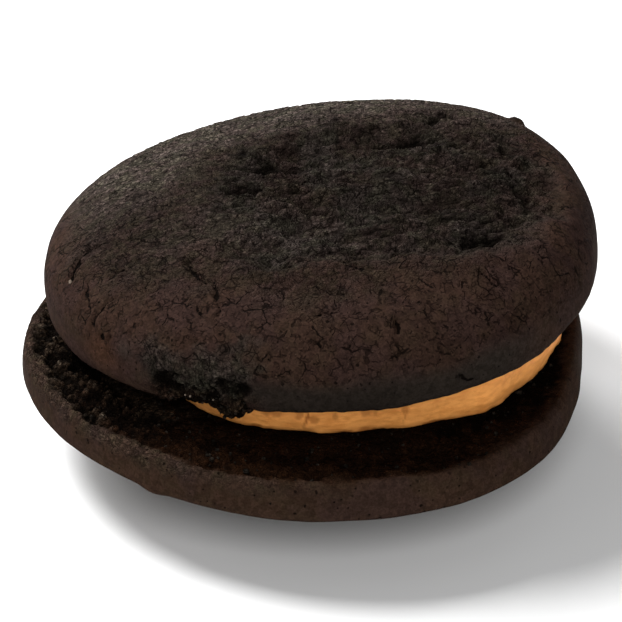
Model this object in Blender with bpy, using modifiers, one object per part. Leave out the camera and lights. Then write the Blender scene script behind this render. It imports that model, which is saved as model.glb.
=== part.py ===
"""Whoopie pie: two round chocolate cakes with a wedge of filling between them.

The lower cake lies crumb side up and rests on z = 0 at the origin. The upper cake lies on the
filling, a little behind and to the right of the lower one, and is tilted up at its right.
Lengths are in metres and +Z is up.
"""

import math

import bpy
import numpy as np
from mathutils import Euler

MM = 0.001
COLLECTION_NAME = "whoopie_pie"
CUTTER_COLLECTION_NAME = "whoopie_pie_profiles"
TURN_STEPS = 96
MERGE_DISTANCE = 0.01 * MM
CLEARANCE = 0.3 * MM

# Both cakes are widest a little way from their flat crumb side.
CAKE_RADIUS = 46.0 * MM

# Lower cake, upside down: its crumb side is up, and the crown of its dome is flat where it rests.
LOWER_HEIGHT = 18.5 * MM
LOWER_CRUMB_RADIUS = 44.4 * MM
LOWER_WIDEST_DEPTH = 5.6 * MM
LOWER_REST_RADIUS = 15.0 * MM
LOWER_DOME_RADIAL_POWER = 1.35
LOWER_DOME_RISE_POWER = 1.18
LOWER_LIP_WIDTH = 3.2 * MM
LOWER_CRUMB_RECESS = 0.6 * MM

# Upper cake: a full dome on a flat crumb side.
UPPER_RADIUS = 45.8 * MM
UPPER_BASE_RADIUS = 42.8 * MM
UPPER_HEIGHT = 18.5 * MM
UPPER_WIDEST_HEIGHT = 3.4 * MM
UPPER_DOME_RADIAL_POWER = 2.6
UPPER_DOME_RISE_POWER = 2.95
UPPER_RISE_RIGHT = 0.02
UPPER_RISE_BACK = -0.04
UPPER_CENTRE = (2.8 * MM, 7.3 * MM, 24.4 * MM)
UPPER_LEAN = math.radians(-1.6)
UPPER_TILT = math.radians(-5.2)

# The sunken part of the upper cake's top, and the torn stretch of its lower edge.
SUNK_CENTRE = (11.0 * MM, -4.0 * MM)
SUNK_RADIUS = 25.0 * MM
SUNK_SHOULDER = 11.0 * MM
SUNK_DEPTH = 1.2 * MM
TEAR_DIRECTION = math.radians(245.0)
TEAR_HALF_ANGLE = math.radians(13.0)
TEAR_HEIGHT = 7.0 * MM
TEAR_DEPTH = 1.3 * MM

# Filling
FILLING_RADIUS = 38.6 * MM
FILLING_CENTRE = (4.7 * MM, 8.4 * MM)
FILLING_BACK_SQUASH = 0.78
FILLING_BULGE = 0.9 * MM

# How far each piece is out of round: (number of lobes, height of a lobe, direction of one lobe).
LOWER_LOBES = (
    (2, 0.3 * MM, math.radians(-18.0)),
    (3, 1.0 * MM, math.radians(47.0)),
    (4, 0.8 * MM, math.radians(33.0)),
    (5, 0.4 * MM, math.radians(36.0)),
)
UPPER_LOBES = (
    (3, 0.95 * MM, math.radians(58.0)),
    (4, 0.6 * MM, math.radians(45.0)),
)
FILLING_LOBES = (
    (2, 0.2 * MM, math.radians(53.0)),
    (3, 0.4 * MM, math.radians(21.0)),
    (5, 0.3 * MM, math.radians(21.0)),
)

# Linear colour, then roughness
CRUST_COLOUR = (0.034, 0.021, 0.015, 1.0)
LOWER_COLOUR = (0.030, 0.018, 0.012, 1.0)
FILLING_COLOUR = (0.560, 0.255, 0.072, 1.0)
CAKE_ROUGHNESS = 0.85
FILLING_ROUGHNESS = 0.6


def clear_scene():
    for obj in list(bpy.data.objects):
        bpy.data.objects.remove(obj)


def new_collection(name):
    collection = bpy.data.collections.new(name)
    bpy.context.scene.collection.children.link(collection)
    return collection


def new_material(name, colour, roughness):
    material = bpy.data.materials.new(name)
    material.use_nodes = True
    shader = material.node_tree.nodes["Principled BSDF"]
    shader.inputs["Base Color"].default_value = colour
    shader.inputs["Roughness"].default_value = roughness
    shader.inputs["Metallic"].default_value = 0.0
    material.diffuse_color = colour
    return material


def smooth_step(value):
    """Rise from 0 to 1 as value goes from 0 to 1, level at both ends."""
    value = np.clip(value, 0.0, 1.0)
    return value * value * (3.0 - 2.0 * value)


def evenly_spaced(radii, heights, count):
    """Return count + 1 (radius, height) points at equal steps along the given curve."""
    lengths = np.hypot(np.diff(radii), np.diff(heights))
    along = np.concatenate(([0.0], np.cumsum(lengths)))
    wanted = np.linspace(0.0, along[-1], count + 1)
    spaced_radii = np.interp(wanted, along, radii)
    spaced_heights = np.interp(wanted, along, heights)
    return list(zip(spaced_radii.tolist(), spaced_heights.tolist()))


def quarter_turn(samples=400):
    """Angles from 0 to a right angle."""
    return np.linspace(0.0, math.pi / 2.0, samples)


def lower_crumb_height(radius):
    """Height of the lower cake's crumb side, which lies a little below the lip around it."""
    across_lip = (radius - LOWER_CRUMB_RADIUS + LOWER_LIP_WIDTH) / LOWER_LIP_WIDTH
    return LOWER_HEIGHT - LOWER_CRUMB_RECESS * (1.0 - smooth_step(1.4 * across_lip))


def lower_cake_profile():
    """Points of the lower cake's half section, from the crumb side down to the resting spot."""
    lip_radii = np.linspace(LOWER_CRUMB_RADIUS - LOWER_LIP_WIDTH, LOWER_CRUMB_RADIUS, 50)
    lip = evenly_spaced(lip_radii, lower_crumb_height(lip_radii), 4)

    angle = quarter_turn()
    widest_height = LOWER_HEIGHT - LOWER_WIDEST_DEPTH
    edge_radii = LOWER_CRUMB_RADIUS + (CAKE_RADIUS - LOWER_CRUMB_RADIUS) * np.sin(angle)
    edge_heights = widest_height + LOWER_WIDEST_DEPTH * np.cos(angle)
    edge = evenly_spaced(edge_radii, edge_heights, 4)

    inward = np.cos(angle) ** (2.0 / LOWER_DOME_RADIAL_POWER)
    downward = np.sin(angle) ** (2.0 / LOWER_DOME_RISE_POWER)
    dome_radii = LOWER_REST_RADIUS + (CAKE_RADIUS - LOWER_REST_RADIUS) * inward
    dome = evenly_spaced(dome_radii, widest_height * (1.0 - downward), 11)

    crumb_centre = [(0.0, LOWER_HEIGHT - LOWER_CRUMB_RECESS)]
    rest_centre = [(0.0, 0.0)]
    return crumb_centre + lip + edge[1:] + dome[1:] + rest_centre


def upper_cake_profile():
    """Points of the upper cake's half section, from the crown to the middle of the crumb side."""
    angle = quarter_turn()
    rise = UPPER_HEIGHT - UPPER_WIDEST_HEIGHT
    dome_radii = UPPER_RADIUS * np.sin(angle) ** (2.0 / UPPER_DOME_RADIAL_POWER)
    dome_heights = UPPER_WIDEST_HEIGHT + rise * np.cos(angle) ** (2.0 / UPPER_DOME_RISE_POWER)
    dome = evenly_spaced(dome_radii, dome_heights, 18)

    edge_radii = UPPER_BASE_RADIUS + (UPPER_RADIUS - UPPER_BASE_RADIUS) * np.cos(angle)
    edge_heights = UPPER_WIDEST_HEIGHT * (1.0 - np.sin(angle))
    edge = evenly_spaced(edge_radii, edge_heights, 3)
    return dome + edge[1:] + [(0.0, 0.0)]


def filling_profile():
    """Half section of a filling of unit radius and unit height, with its side bulged outwards."""
    height = np.linspace(1.0, 0.0, 200)
    radius = 1.0 + (FILLING_BULGE / FILLING_RADIUS) * np.sqrt(np.sin(math.pi * height).clip(0.0))
    side = evenly_spaced(radius, height, 8)
    return [(0.0, 1.0)] + side + [(0.0, 0.0)]


def turned_mesh(name, profile, helpers):
    """Turn a half section about Z with a Screw modifier and return the mesh that it makes."""
    outline = bpy.data.meshes.new(name + "_profile")
    points = [(radius, 0.0, height) for radius, height in profile]
    edges = [(index, index + 1) for index in range(len(points) - 1)]
    outline.from_pydata(points, edges, [])
    guide = bpy.data.objects.new(name + "_profile", outline)
    guide.hide_render = True
    guide.display_type = "WIRE"
    helpers.objects.link(guide)
    screw = guide.modifiers.new("Screw", "SCREW")
    screw.steps = TURN_STEPS
    screw.render_steps = TURN_STEPS
    screw.use_merge_vertices = True
    screw.merge_threshold = MERGE_DISTANCE
    graph = bpy.context.evaluated_depsgraph_get()
    mesh = bpy.data.meshes.new_from_object(guide.evaluated_get(graph))
    mesh.name = name
    bpy.data.objects.remove(guide)
    bpy.data.meshes.remove(outline)
    return mesh


def mesh_points(mesh):
    points = np.empty(len(mesh.vertices) * 3)
    mesh.vertices.foreach_get("co", points)
    return points.reshape(-1, 3)


def set_mesh_points(mesh, points):
    mesh.vertices.foreach_set("co", points.ravel())
    mesh.update()


def roundness(angle, lobes, radius):
    """The factor on the radius, at each angle, of a piece with these lobes."""
    factor = np.ones_like(angle)
    for count, height, direction in lobes:
        factor += height / radius * np.cos(count * (angle - direction))
    return factor


def out_of_round(points, lobes, radius):
    """Return the points with their distance from the Z axis changed by the lobes."""
    factor = roundness(np.arctan2(points[:, 1], points[:, 0]), lobes, radius)
    return np.column_stack((points[:, 0] * factor, points[:, 1] * factor, points[:, 2]))


def uneven_dome(points):
    """Raise the dome at the right and lower it at the back, more so higher up."""
    x, y, z = points.T
    slope = (UPPER_RISE_RIGHT * x + UPPER_RISE_BACK * y) / UPPER_RADIUS
    return np.column_stack((x, y, z * (1.0 + z / UPPER_HEIGHT * slope)))


def sunken_top(points):
    """Lower the round area of the top that has sunk."""
    x, y, z = points.T
    from_centre = np.hypot(x - SUNK_CENTRE[0], y - SUNK_CENTRE[1])
    inside = smooth_step((SUNK_RADIUS - from_centre) / SUNK_SHOULDER)
    on_top = smooth_step((z / UPPER_HEIGHT - 0.5) / 0.3)
    return np.column_stack((x, y, z - SUNK_DEPTH * inside * on_top))


def torn_edge(points):
    """Draw in the stretch of the lower edge where crust has come away."""
    x, y, z = points.T
    turn = (np.arctan2(y, x) - TEAR_DIRECTION + math.pi) % (2.0 * math.pi) - math.pi
    across = np.exp(-((turn / TEAR_HALF_ANGLE) ** 4))
    low = 1.0 - smooth_step((z / TEAR_HEIGHT - 0.4) / 0.6)
    outer = smooth_step((np.hypot(x, y) - 0.6 * UPPER_RADIUS) / (0.3 * UPPER_RADIUS))
    factor = 1.0 - TEAR_DEPTH / UPPER_RADIUS * across * low * outer
    return np.column_stack((x * factor, y * factor, z))


def add_piece(name, mesh, material, collection):
    mesh.materials.clear()
    mesh.materials.append(material)
    mesh.shade_smooth()
    mesh.set_sharp_from_angle(angle=math.radians(50.0))
    obj = bpy.data.objects.new(name, mesh)
    collection.objects.link(obj)
    return obj


def make_lower_cake(collection, helpers):
    mesh = turned_mesh("lower_cake", lower_cake_profile(), helpers)
    set_mesh_points(mesh, out_of_round(mesh_points(mesh), LOWER_LOBES, CAKE_RADIUS))
    material = new_material("lower_cake", LOWER_COLOUR, CAKE_ROUGHNESS)
    return add_piece("lower_cake", mesh, material, collection)


def make_upper_cake(collection, helpers):
    mesh = turned_mesh("upper_cake", upper_cake_profile(), helpers)
    points = out_of_round(mesh_points(mesh), UPPER_LOBES, UPPER_RADIUS)
    points = torn_edge(sunken_top(uneven_dome(points)))
    set_mesh_points(mesh, points)
    material = new_material("upper_cake", CRUST_COLOUR, CAKE_ROUGHNESS)
    cake = add_piece("upper_cake", mesh, material, collection)
    cake.location = UPPER_CENTRE
    cake.rotation_euler = (UPPER_LEAN, UPPER_TILT, 0.0)
    return cake


def upper_crumb_height(x, y):
    """Height of the upper cake's crumb side above each point (x, y)."""
    normal = Euler((UPPER_LEAN, UPPER_TILT, 0.0)).to_matrix().col[2]
    from_x = x - UPPER_CENTRE[0]
    from_y = y - UPPER_CENTRE[1]
    return UPPER_CENTRE[2] - (normal.x * from_x + normal.y * from_y) / normal.z


def make_filling(collection, helpers):
    mesh = turned_mesh("filling", filling_profile(), helpers)
    unit_x, unit_y, level = out_of_round(mesh_points(mesh), FILLING_LOBES, FILLING_RADIUS).T
    squash = np.where(unit_y > 0.0, FILLING_BACK_SQUASH, 1.0)
    x = FILLING_CENTRE[0] + FILLING_RADIUS * unit_x
    y = FILLING_CENTRE[1] + FILLING_RADIUS * unit_y * squash
    round_radius = np.hypot(x, y) / roundness(np.arctan2(y, x), LOWER_LOBES, CAKE_RADIUS)
    bottom = lower_crumb_height(round_radius) + CLEARANCE
    top = upper_crumb_height(x, y) - CLEARANCE
    set_mesh_points(mesh, np.column_stack((x, y, bottom + level * (top - bottom))))
    material = new_material("filling", FILLING_COLOUR, FILLING_ROUGHNESS)
    return add_piece("filling", mesh, material, collection)


def main():
    clear_scene()
    collection = new_collection(COLLECTION_NAME)
    helpers = new_collection(CUTTER_COLLECTION_NAME)
    make_lower_cake(collection, helpers)
    make_filling(collection, helpers)
    make_upper_cake(collection, helpers)


main()
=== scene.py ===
"""Whoopie pie: cracked cocoa crust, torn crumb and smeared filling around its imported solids.

Shape functions work in millimetres, in each piece's own frame. Finished meshes are in metres.
"""

import math

import bpy
import numpy as np
from bpy.props import FloatProperty, FloatVectorProperty, IntProperty, PointerProperty
from mathutils import Euler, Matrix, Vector


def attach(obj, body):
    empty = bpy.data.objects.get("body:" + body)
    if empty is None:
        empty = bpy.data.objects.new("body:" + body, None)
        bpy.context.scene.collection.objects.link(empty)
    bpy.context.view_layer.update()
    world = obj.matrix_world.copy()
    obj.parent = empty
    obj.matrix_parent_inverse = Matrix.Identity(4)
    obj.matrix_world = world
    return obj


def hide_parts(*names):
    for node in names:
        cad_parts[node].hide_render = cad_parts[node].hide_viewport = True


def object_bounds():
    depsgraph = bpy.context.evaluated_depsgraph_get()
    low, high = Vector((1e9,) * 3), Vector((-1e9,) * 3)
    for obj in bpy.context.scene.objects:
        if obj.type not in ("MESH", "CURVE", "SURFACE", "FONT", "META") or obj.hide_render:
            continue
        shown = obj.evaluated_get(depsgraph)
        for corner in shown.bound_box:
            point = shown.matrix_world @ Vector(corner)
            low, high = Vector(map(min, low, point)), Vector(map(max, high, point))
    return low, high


bl_info = {
    "name": "Whoopie Pie",
    "version": (1, 0, 0),
    "blender": (4, 5, 0),
    "location": "3D View > Sidebar > Whoopie Pie",
    "description": "Dresses the solids of a whoopie pie with crust, crumb, filling and loose crumbs",
    "category": "Add Mesh",
}

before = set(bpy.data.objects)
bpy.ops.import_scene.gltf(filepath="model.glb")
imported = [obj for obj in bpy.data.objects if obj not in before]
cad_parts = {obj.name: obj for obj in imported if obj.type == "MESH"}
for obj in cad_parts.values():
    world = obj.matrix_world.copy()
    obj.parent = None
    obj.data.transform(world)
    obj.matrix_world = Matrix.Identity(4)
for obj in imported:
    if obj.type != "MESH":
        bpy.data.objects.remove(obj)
CAD_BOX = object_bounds()

MM = 0.001
TURN = 2.0 * math.pi
# A distance past every other, in millimetres or in cells.
FAR = 9.0

# Whole numbers that mix a cell's place and a seed into one scattered number.
HASH_MASK = 0xFFFFFFFF
PLACE_FACTORS = np.array((374761393, 668265263, 1440662683))
SEED_FACTOR = 1911520717
MIXERS = ((15, 1274126177), (13, 1103515245))

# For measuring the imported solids: steps round a turn, and how square a flat side's faces are to it.
HEADINGS = 96
FLAT_COSINE = 0.9998
# Points of each curve in a cake's half section.
PROFILE_POINTS = 3000

# Form of the upper cake, in its own frame: crumb side on z = 0, crown up. Its dome, before the top
# sank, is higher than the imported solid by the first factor.
UPPER_DOME_FACTOR = 1.015
UPPER_BASE_SHARE = 42.8 / 45.8
UPPER_WIDEST_HEIGHT = 3.4
UPPER_DOME_RADIAL_POWER = 2.6
UPPER_DOME_RISE_POWER = 2.95
UPPER_RISE_RIGHT = 0.02
UPPER_RISE_BACK = -0.04
UPPER_LEAN = -1.6
UPPER_TILT = -5.2
UPPER_LOBES = ((3, 0.95, 58.0), (4, 0.6, 45.0))
SUNK_CENTRE = (9.5, -2.0)
SUNK_REACH = (26.0, 25.0)
SUNK_POWER = 2.6
# Its mesh: a disc grid out to the crown arc, rings to the side arc, then wider rings underneath.
UPPER_GRID = 224
UPPER_CROWN_ARC = 42.5
UPPER_SIDE_ARC = 60.0
UPPER_SIDE_RINGS = 44
UPPER_UNDER_RINGS = 8
UPPER_UNDER_CROWDING = 1.3
# Heights between which the side turns into the top, into grit, and out of its smooth lower band.
TOP_HEIGHTS = (8.0, 12.0)
GRIT_HEIGHTS = (11.0, 16.5)
BAND_HEIGHTS = (4.4, 8.0)
# Its torn lower edge: direction in degrees, then how far it and the frayed crust reach round and up.
TEAR_DIRECTION = 243.5
TEAR_TURNS = (9.5, 12.0)
TEAR_HEIGHTS = (4.8, 7.5)
FRAYED_TURNS = (10.0, 14.5)
FRAYED_HEIGHT = 7.0
FRAYED_RISE = 1.8
FRAYED_FADE = 3.6
# The flap that hangs from it, between these directions, and the small lump on the far edge.
FLAP_START = (243.5, 250.5)
FLAP_END = (251.2, 253.2)
FLAP_LENGTH = 1.85
LUMP_PLACE = (33.4, 28.2, 11.7)
LUMP_REACH = (2.1, 1.6, 1.0)

# Form of the lower cake, in the frame of the whole pie.
LOWER_CRUMB_SHARE = 44.4 / 46.0
LOWER_WIDEST_DEPTH = 5.6
LOWER_REST_RADIUS = 15.0
LOWER_DOME_RADIAL_POWER = 1.35
LOWER_DOME_RISE_POWER = 1.18
LOWER_CRUMB_RECESS = 0.35
LOWER_LOBES = ((2, 0.3, -18.0), (3, 1.0, 47.0), (4, 0.8, 33.0), (5, 0.4, 36.0))
# Directions in which its crumb is open and coarsest, and radii between which it comes to show.
OPEN_DIRECTION = 190.0
CHUNKY_DIRECTION = 181.0
BARE_RADII = (33.5, 37.0)
# Its mesh: distance from the middle of the crumb side along the profile, and steps up to there,
# then distance still to go to the middle of the resting spot, and steps.
LOWER_STOPS = ((0.0, 0), (26.0, 5), (33.0, 14), (45.0, 36), (52.0, 20), (57.0, 12))
LOWER_LAST_STOPS = ((16.0, 18), (8.0, 1), (0.0, 1))
LOWER_ANGLES = 860

# Form of the filling, in the frame of the whole pie.
FILLING_CENTRE = (4.7, 8.4)
FILLING_REACH = 38.6
FILLING_BACK_SQUASH = 0.78
FILLING_BULGE = 0.9
FILLING_LOBES = ((2, 0.2, 53.0), (3, 0.4, 21.0), (5, 0.3, 21.0))
FILLING_OVERLAP = 0.1
FILLING_NOISE_RADIUS = 40.0
# Directions over which its side comes to be held back, from the front and from the back, and how far.
HELD_BACK_FRONT = (246.0, 219.0)
HELD_BACK_BACK = (110.0, 165.0)
HELD_BACK_DEPTH = 2.4
# Its mesh: rows from pole to pole, those of each flat side, and angles.
FILLING_ROWS = 41
FILLING_FLAT_ROWS = 4
FILLING_ANGLES = 900

# Hollows of the upper cake's top: x, y, length, width, direction in degrees, depth.
HOLLOWS = (
    (25.5, -20.0, 9.0, 4.2, 39.0, 1.8),
    (-6.5, 6.4, 11.0, 3.0, -22.0, 1.6),
    (-7.5, 8.4, 5.0, 3.0, -30.0, 1.3),
    (-11.4, -0.8, 7.5, 3.0, -13.0, 1.1),
    (-0.2, -9.7, 5.0, 1.8, -22.0, 0.7),
    (14.0, 15.8, 10.5, 3.0, 10.0, 1.2),
    (20.7, 24.0, 8.0, 3.6, 33.0, 1.2),
    (31.2, 10.1, 4.0, 2.6, -70.0, 0.9),
    (32.3, -4.8, 5.5, 2.8, -60.0, 0.9),
    (-13.2, 13.0, 6.0, 3.2, 75.0, 0.8),
    (13.0, -25.5, 6.0, 1.8, -8.0, 0.7),
    (4.5, -17.5, 4.5, 1.6, -20.0, 0.6),
    (27.5, 3.5, 5.5, 2.0, -35.0, 0.7),
    (-0.7, -20.9, 2.6, 1.5, 0.0, 0.6),
    (-8.0, -22.3, 3.4, 1.4, -15.0, 0.7),
    (-20.5, -11.8, 3.4, 1.3, 25.0, 0.6),
    (-20.5, -22.5, 2.4, 2.0, 60.0, 0.7),
    (11.5, -43.0, 1.0, 1.0, 0.0, 0.6),
)

# Gaps in its side: direction in degrees, height, half width in degrees, half height, depth.
SIDE_GAPS = (
    (236.5, 4.6, 3.8, 1.6, 1.2),
    (254.0, 4.8, 1.9, 1.3, 0.9),
    (243.5, 4.4, 1.0, 0.6, 0.6),
    (248.5, 5.6, 0.8, 0.7, 0.6),
    (222.0, 8.7, 0.7, 0.5, 0.5),
    (246.5, 3.4, 1.6, 0.9, 0.5),
)

# Stains of the filling: direction in degrees, share of its height from the top, half width, half
# height. The half height is true where the side is as high as STAIN_SIDE_HEIGHT.
STAIN_SIDE_HEIGHT = 4.0
STAINS = (
    (250.8, 0.97, 1.4, 0.4),
    (254.9, 0.42, 1.3, 0.5),
    (261.0, 0.46, 0.5, 0.4),
    (263.8, 0.58, 0.9, 0.35),
    (269.0, 0.52, 0.35, 0.5),
    (277.9, 0.43, 2.2, 0.5),
    (284.5, 0.45, 0.3, 0.8),
    (274.8, 1.0, 3.6, 0.5),
    (293.0, 1.0, 2.5, 0.4),
    (313.0, 0.35, 1.5, 0.3),
    (40.0, 0.1, 2.0, 0.5),
    (120.0, 0.2, 1.6, 0.6),
    (165.0, 0.05, 2.2, 0.4),
    (200.0, 0.1, 1.4, 0.5),
)
# Upright cracks of the filling: direction, width, depth.
FILLING_CRACKS = ((261.9, 0.3, 0.35), (284.5, 0.22, 0.25), (96.0, 0.3, 0.3), (180.0, 0.25, 0.3))

# Pale specks stuck to the upper cake: x, y, z in its own frame, radius.
PALE_SPECKS = (
    (-39.9, -16.1, 11.8, 0.3),
    (-40.1, -15.4, 11.5, 0.22),
    (-39.9, -16.6, 11.4, 0.24),
    (-21.6, -39.4, 2.6, 0.2),
    (-20.9, -39.6, 2.8, 0.17),
    (-17.6, -41.0, 2.3, 0.17),
)

# Longer cracks and slits of the crust: one end, the other end, width, depth.
CRACKS = (
    ((-40.0, -15.8, 11.7), (-38.8, -12.0, 13.2), 0.95, 0.6),
    ((-38.8, -12.0, 13.2), (-36.8, -11.0, 14.2), 0.7, 0.5),
    ((-36.8, -11.0, 14.2), (-34.6, -10.4, 15.0), 0.45, 0.35),
    ((-34.0, -28.0, 8.6), (-33.7, -28.7, 7.9), 0.6, 0.4),
    ((-36.5, -26.5, 9.0), (-32.5, -25.0, 13.0), 0.4, 0.35),
    ((-33.5, -21.0, 14.0), (-30.0, -20.0, 15.0), 0.35, 0.3),
    ((-37.0, -19.0, 12.5), (-36.5, -25.0, 10.5), 0.35, 0.3),
    ((-27.0, -26.5, 14.5), (-26.5, -23.0, 15.5), 0.35, 0.3),
    ((-21.0, -22.0, 16.5), (-17.5, -28.5, 16.0), 0.6, 0.5),
    ((-12.0, -25.0, 17.0), (-7.5, -26.5, 17.0), 0.5, 0.5),
    ((-7.5, -26.5, 17.0), (-3.5, -26.5, 17.5), 0.4, 0.35),
    ((-16.0, -27.5, 16.5), (-15.5, -35.5, 14.0), 0.4, 0.35),
    ((2.5, -37.5, 14.5), (-1.0, -38.5, 14.0), 0.35, 0.35),
    ((-1.5, -42.0, 12.0), (0.0, -43.0, 10.5), 0.4, 0.35),
    ((11.0, -39.5, 13.5), (11.5, -41.0, 12.0), 0.5, 0.5),
    ((25.0, -30.0, 15.0), (27.0, -31.5, 13.5), 0.5, 0.5),
    ((34.0, -22.0, 13.5), (34.0, -24.0, 13.0), 0.4, 0.4),
    ((31.0, -34.5, 8.0), (31.5, -34.5, 6.5), 0.4, 0.35),
    ((20.5, -42.0, 4.0), (22.5, -41.0, 2.5), 0.6, 0.5),
    ((3.5, -27.5, 17.5), (8.0, -30.5, 16.5), 0.4, 0.3),
    ((-19.0, -31.5, 15.0), (-18.0, -35.5, 13.5), 0.35, 0.3),
    ((-10.8, 7.4, 17.0), (-7.2, 6.0, 17.0), 0.9, 1.0),
    ((-6.9, 5.2, 17.2), (-2.6, 4.9, 17.6), 0.8, 0.9),
    ((-14.0, -1.0, 17.2), (-11.4, -2.7, 17.4), 0.8, 0.7),
    ((-11.4, -2.7, 17.4), (-8.8, -1.8, 17.5), 0.7, 0.7),
    ((-3.9, -2.2, 17.6), (-1.2, -2.4, 17.7), 0.5, 0.5),
    ((12.7, 13.9, 17.0), (16.2, 15.3, 16.8), 0.7, 0.8),
    ((17.6, 15.4, 16.7), (20.2, 15.7, 16.5), 0.6, 0.7),
    ((21.0, 26.4, 15.2), (23.9, 23.3, 15.5), 0.5, 0.6),
    ((31.0, 3.5, 15.6), (31.4, 0.7, 15.6), 0.7, 0.7),
    ((31.4, 0.7, 15.6), (32.6, 0.8, 15.4), 0.6, 0.6),
    ((28.8, 4.4, 16.0), (30.2, 4.7, 15.9), 0.6, 0.6),
    ((24.2, -20.2, 15.8), (25.1, -22.2, 15.6), 1.3, 0.9),
    ((25.1, -22.2, 15.6), (27.5, -21.0, 15.4), 1.1, 0.8),
    ((22.6, -19.7, 16.2), (23.6, -19.9, 16.1), 0.5, 0.5),
)

# A crumb's mesh has this many rows and this many angles.
CRUMB_STEPS = 6
# A distance to the nearest crack that leaves no mark.
NO_CRACK = 2.0

# Nets of hairline cracks: cell size, width, noise under which they break off, their strength, and
# how much stronger they are in grit. Then the size of the grit itself.
CRACK_NETS = ((3.0, 0.2, 0.53, 1.0, 0.0), (1.5, 0.15, 0.51, 0.75, 0.2), (0.8, 0.12, 0.53, 0.5, 0.2))
GRIT_SIZE = 0.5
# Vertex attributes that every cake mesh has and the cake material reads.
CAKE_MASKS = ("crumb", "tone", "gritty", "ragged", "band", "dark", "pale", "crack_gap")
# Tints: factors on the red, green and blue of the crust or the crumb.
GREENISH = (0.97, 1.05, 0.98)
PLUM = (0.98, 0.99, 1.16)
GREY_CRUST = (0.98, 1.46, 1.66)
GREY_CRUMB = (1.5, 2.15, 2.6)
RUSTY_CRUST = (1.9, 1.5, 1.15)
RUSTY_CRUMB = (0.98, 0.82, 0.62)
# Grey of the painted highlights.
HIGHLIGHT_GREY = (2.35, 3.5, 4.05)
SPECKLED = (2.0, 2.3, 2.4)
# The floor, in metres: its side, and the gap under the pie.
FLOOR_SIZE = 5.0
FLOOR_GAP = 0.0002
# Linear colours of the painted shade in the cake's gaps, of the stains and painted shade on the filling, and
# of its cocoa grains.
GAP_SHADE_COLOUR = (0.0016, 0.001, 0.0007, 1.0)
STAIN_AND_SHADE_COLOUR = (0.36, 0.105, 0.018, 1.0)
COCOA_COLOUR = (0.05, 0.022, 0.012, 1.0)


# ---------------------------------------------------------------- curves and noise


def smooth_step(low, high, value):
    """Rise from 0 at low to 1 at high along 3t^2 - 2t^3, level beyond both."""
    t = np.clip((value - low) / (high - low), 0.0, 1.0)
    return t * t * (3.0 - 2.0 * t)


def spot(*terms):
    """A bell, 1 at its middle: e to the minus the sum of the squares of distance / reach.

    Each term is a distance from the middle in one direction and the reach in that direction.
    """
    return np.exp(-sum((distance / reach) ** 2 for distance, reach in terms))


def turn_from(angle, direction):
    """Degrees from a direction to each angle, between -180 and 180."""
    return (np.degrees(angle) - direction + 180.0) % 360.0 - 180.0


def scattered(cell, seed):
    """A number from 0 to 1 for each row of whole numbers, mixed from its three columns and the seed."""
    mixed = (cell @ PLACE_FACTORS + seed * SEED_FACTOR) & HASH_MASK
    for shift, factor in MIXERS:
        mixed = ((mixed ^ (mixed >> shift)) * factor) & HASH_MASK
    return (mixed ^ (mixed >> 16)) / HASH_MASK


def noise(points, size, seed):
    """Smooth noise from -1 to 1.

    Each corner of a lattice of cubes of the given size has a scattered value, and a point's value
    is their blend by the curve 6t^5 - 15t^4 + 10t^3 along each side.
    """
    place = points / size
    cell = np.floor(place).astype(np.int64)
    part = place - cell
    blend = part**3 * (part * (part * 6.0 - 15.0) + 10.0)
    total = np.zeros(len(points))
    for corner in np.ndindex(2, 2, 2):
        weight = np.where(np.array(corner) == 1, blend, 1.0 - blend).prod(axis=1)
        total += weight * scattered(cell + corner, seed)
    return 2.0 * total - 1.0


def layered_noise(points, size, seed, layers=4, fall=0.5):
    """Noise of halving sizes added up, each turned in space and weaker by the fall.

    The sum is scaled to about -1 to 1.
    """
    turn = np.array(Euler((0.7, 1.1, 0.4)).to_matrix())
    total = np.zeros(len(points))
    weight = 1.0
    weights = 0.0
    for layer in range(layers):
        total += weight * noise(points, size * 0.5**layer, seed + layer)
        weights += weight
        weight *= fall
        points = points @ turn.T
    return 1.6 * total / weights


def noise_vectors(points, size, seed):
    """Three independent noises at each point."""
    return np.column_stack([noise(points, size, seed + 17 * axis) for axis in range(3)])


def cells(points, size, seed):
    """Distances to the nearest and the second nearest of the seeds scattered one in each cube.

    Distances are in cubes of the given size. The third result is a number from 0 to 1 that is the
    same over each seed's own cell, and the fourth is the way from that seed to the point.
    """
    place = points / size
    cell = np.floor(place).astype(np.int64)
    nearest = np.full(len(points), FAR)
    second = np.full(len(points), FAR)
    tag = np.zeros(len(points))
    away = np.zeros_like(points)
    for offset in np.ndindex(3, 3, 3):
        other = cell + np.array(offset) - 1
        centre = other + np.column_stack([scattered(other, seed + axis) for axis in range(3)])
        distance = np.sqrt(((centre - place) ** 2).sum(axis=1))
        closer = distance < nearest
        second = np.where(closer, nearest, np.minimum(second, distance))
        tag = np.where(closer, scattered(other, seed + 3), tag)
        away = np.where(closer[:, None], place - centre, away)
        nearest = np.where(closer, distance, nearest)
    return nearest, second, tag, away


def bent_cells(points, size, seed):
    """Distance to the border, number and way from the seed, for cells whose borders noise bends."""
    bent = points + 0.3 * size * noise_vectors(points, 0.7 * size, seed + 50)
    nearest, second, tag, away = cells(bent, size, seed)
    return second - nearest, tag, away


def clumps(points, size, seed, edge):
    """Lumps from 0 to 1, one over each cell of a bent cell pattern, with creases between them.

    A lump rises from its crease over the edge share of a cell, so a small share makes a flat flake.
    """
    border, tag, _ = bent_cells(points, size, seed)
    return smooth_step(0.0, edge, border) * (0.45 + 0.55 * tag)


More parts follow.
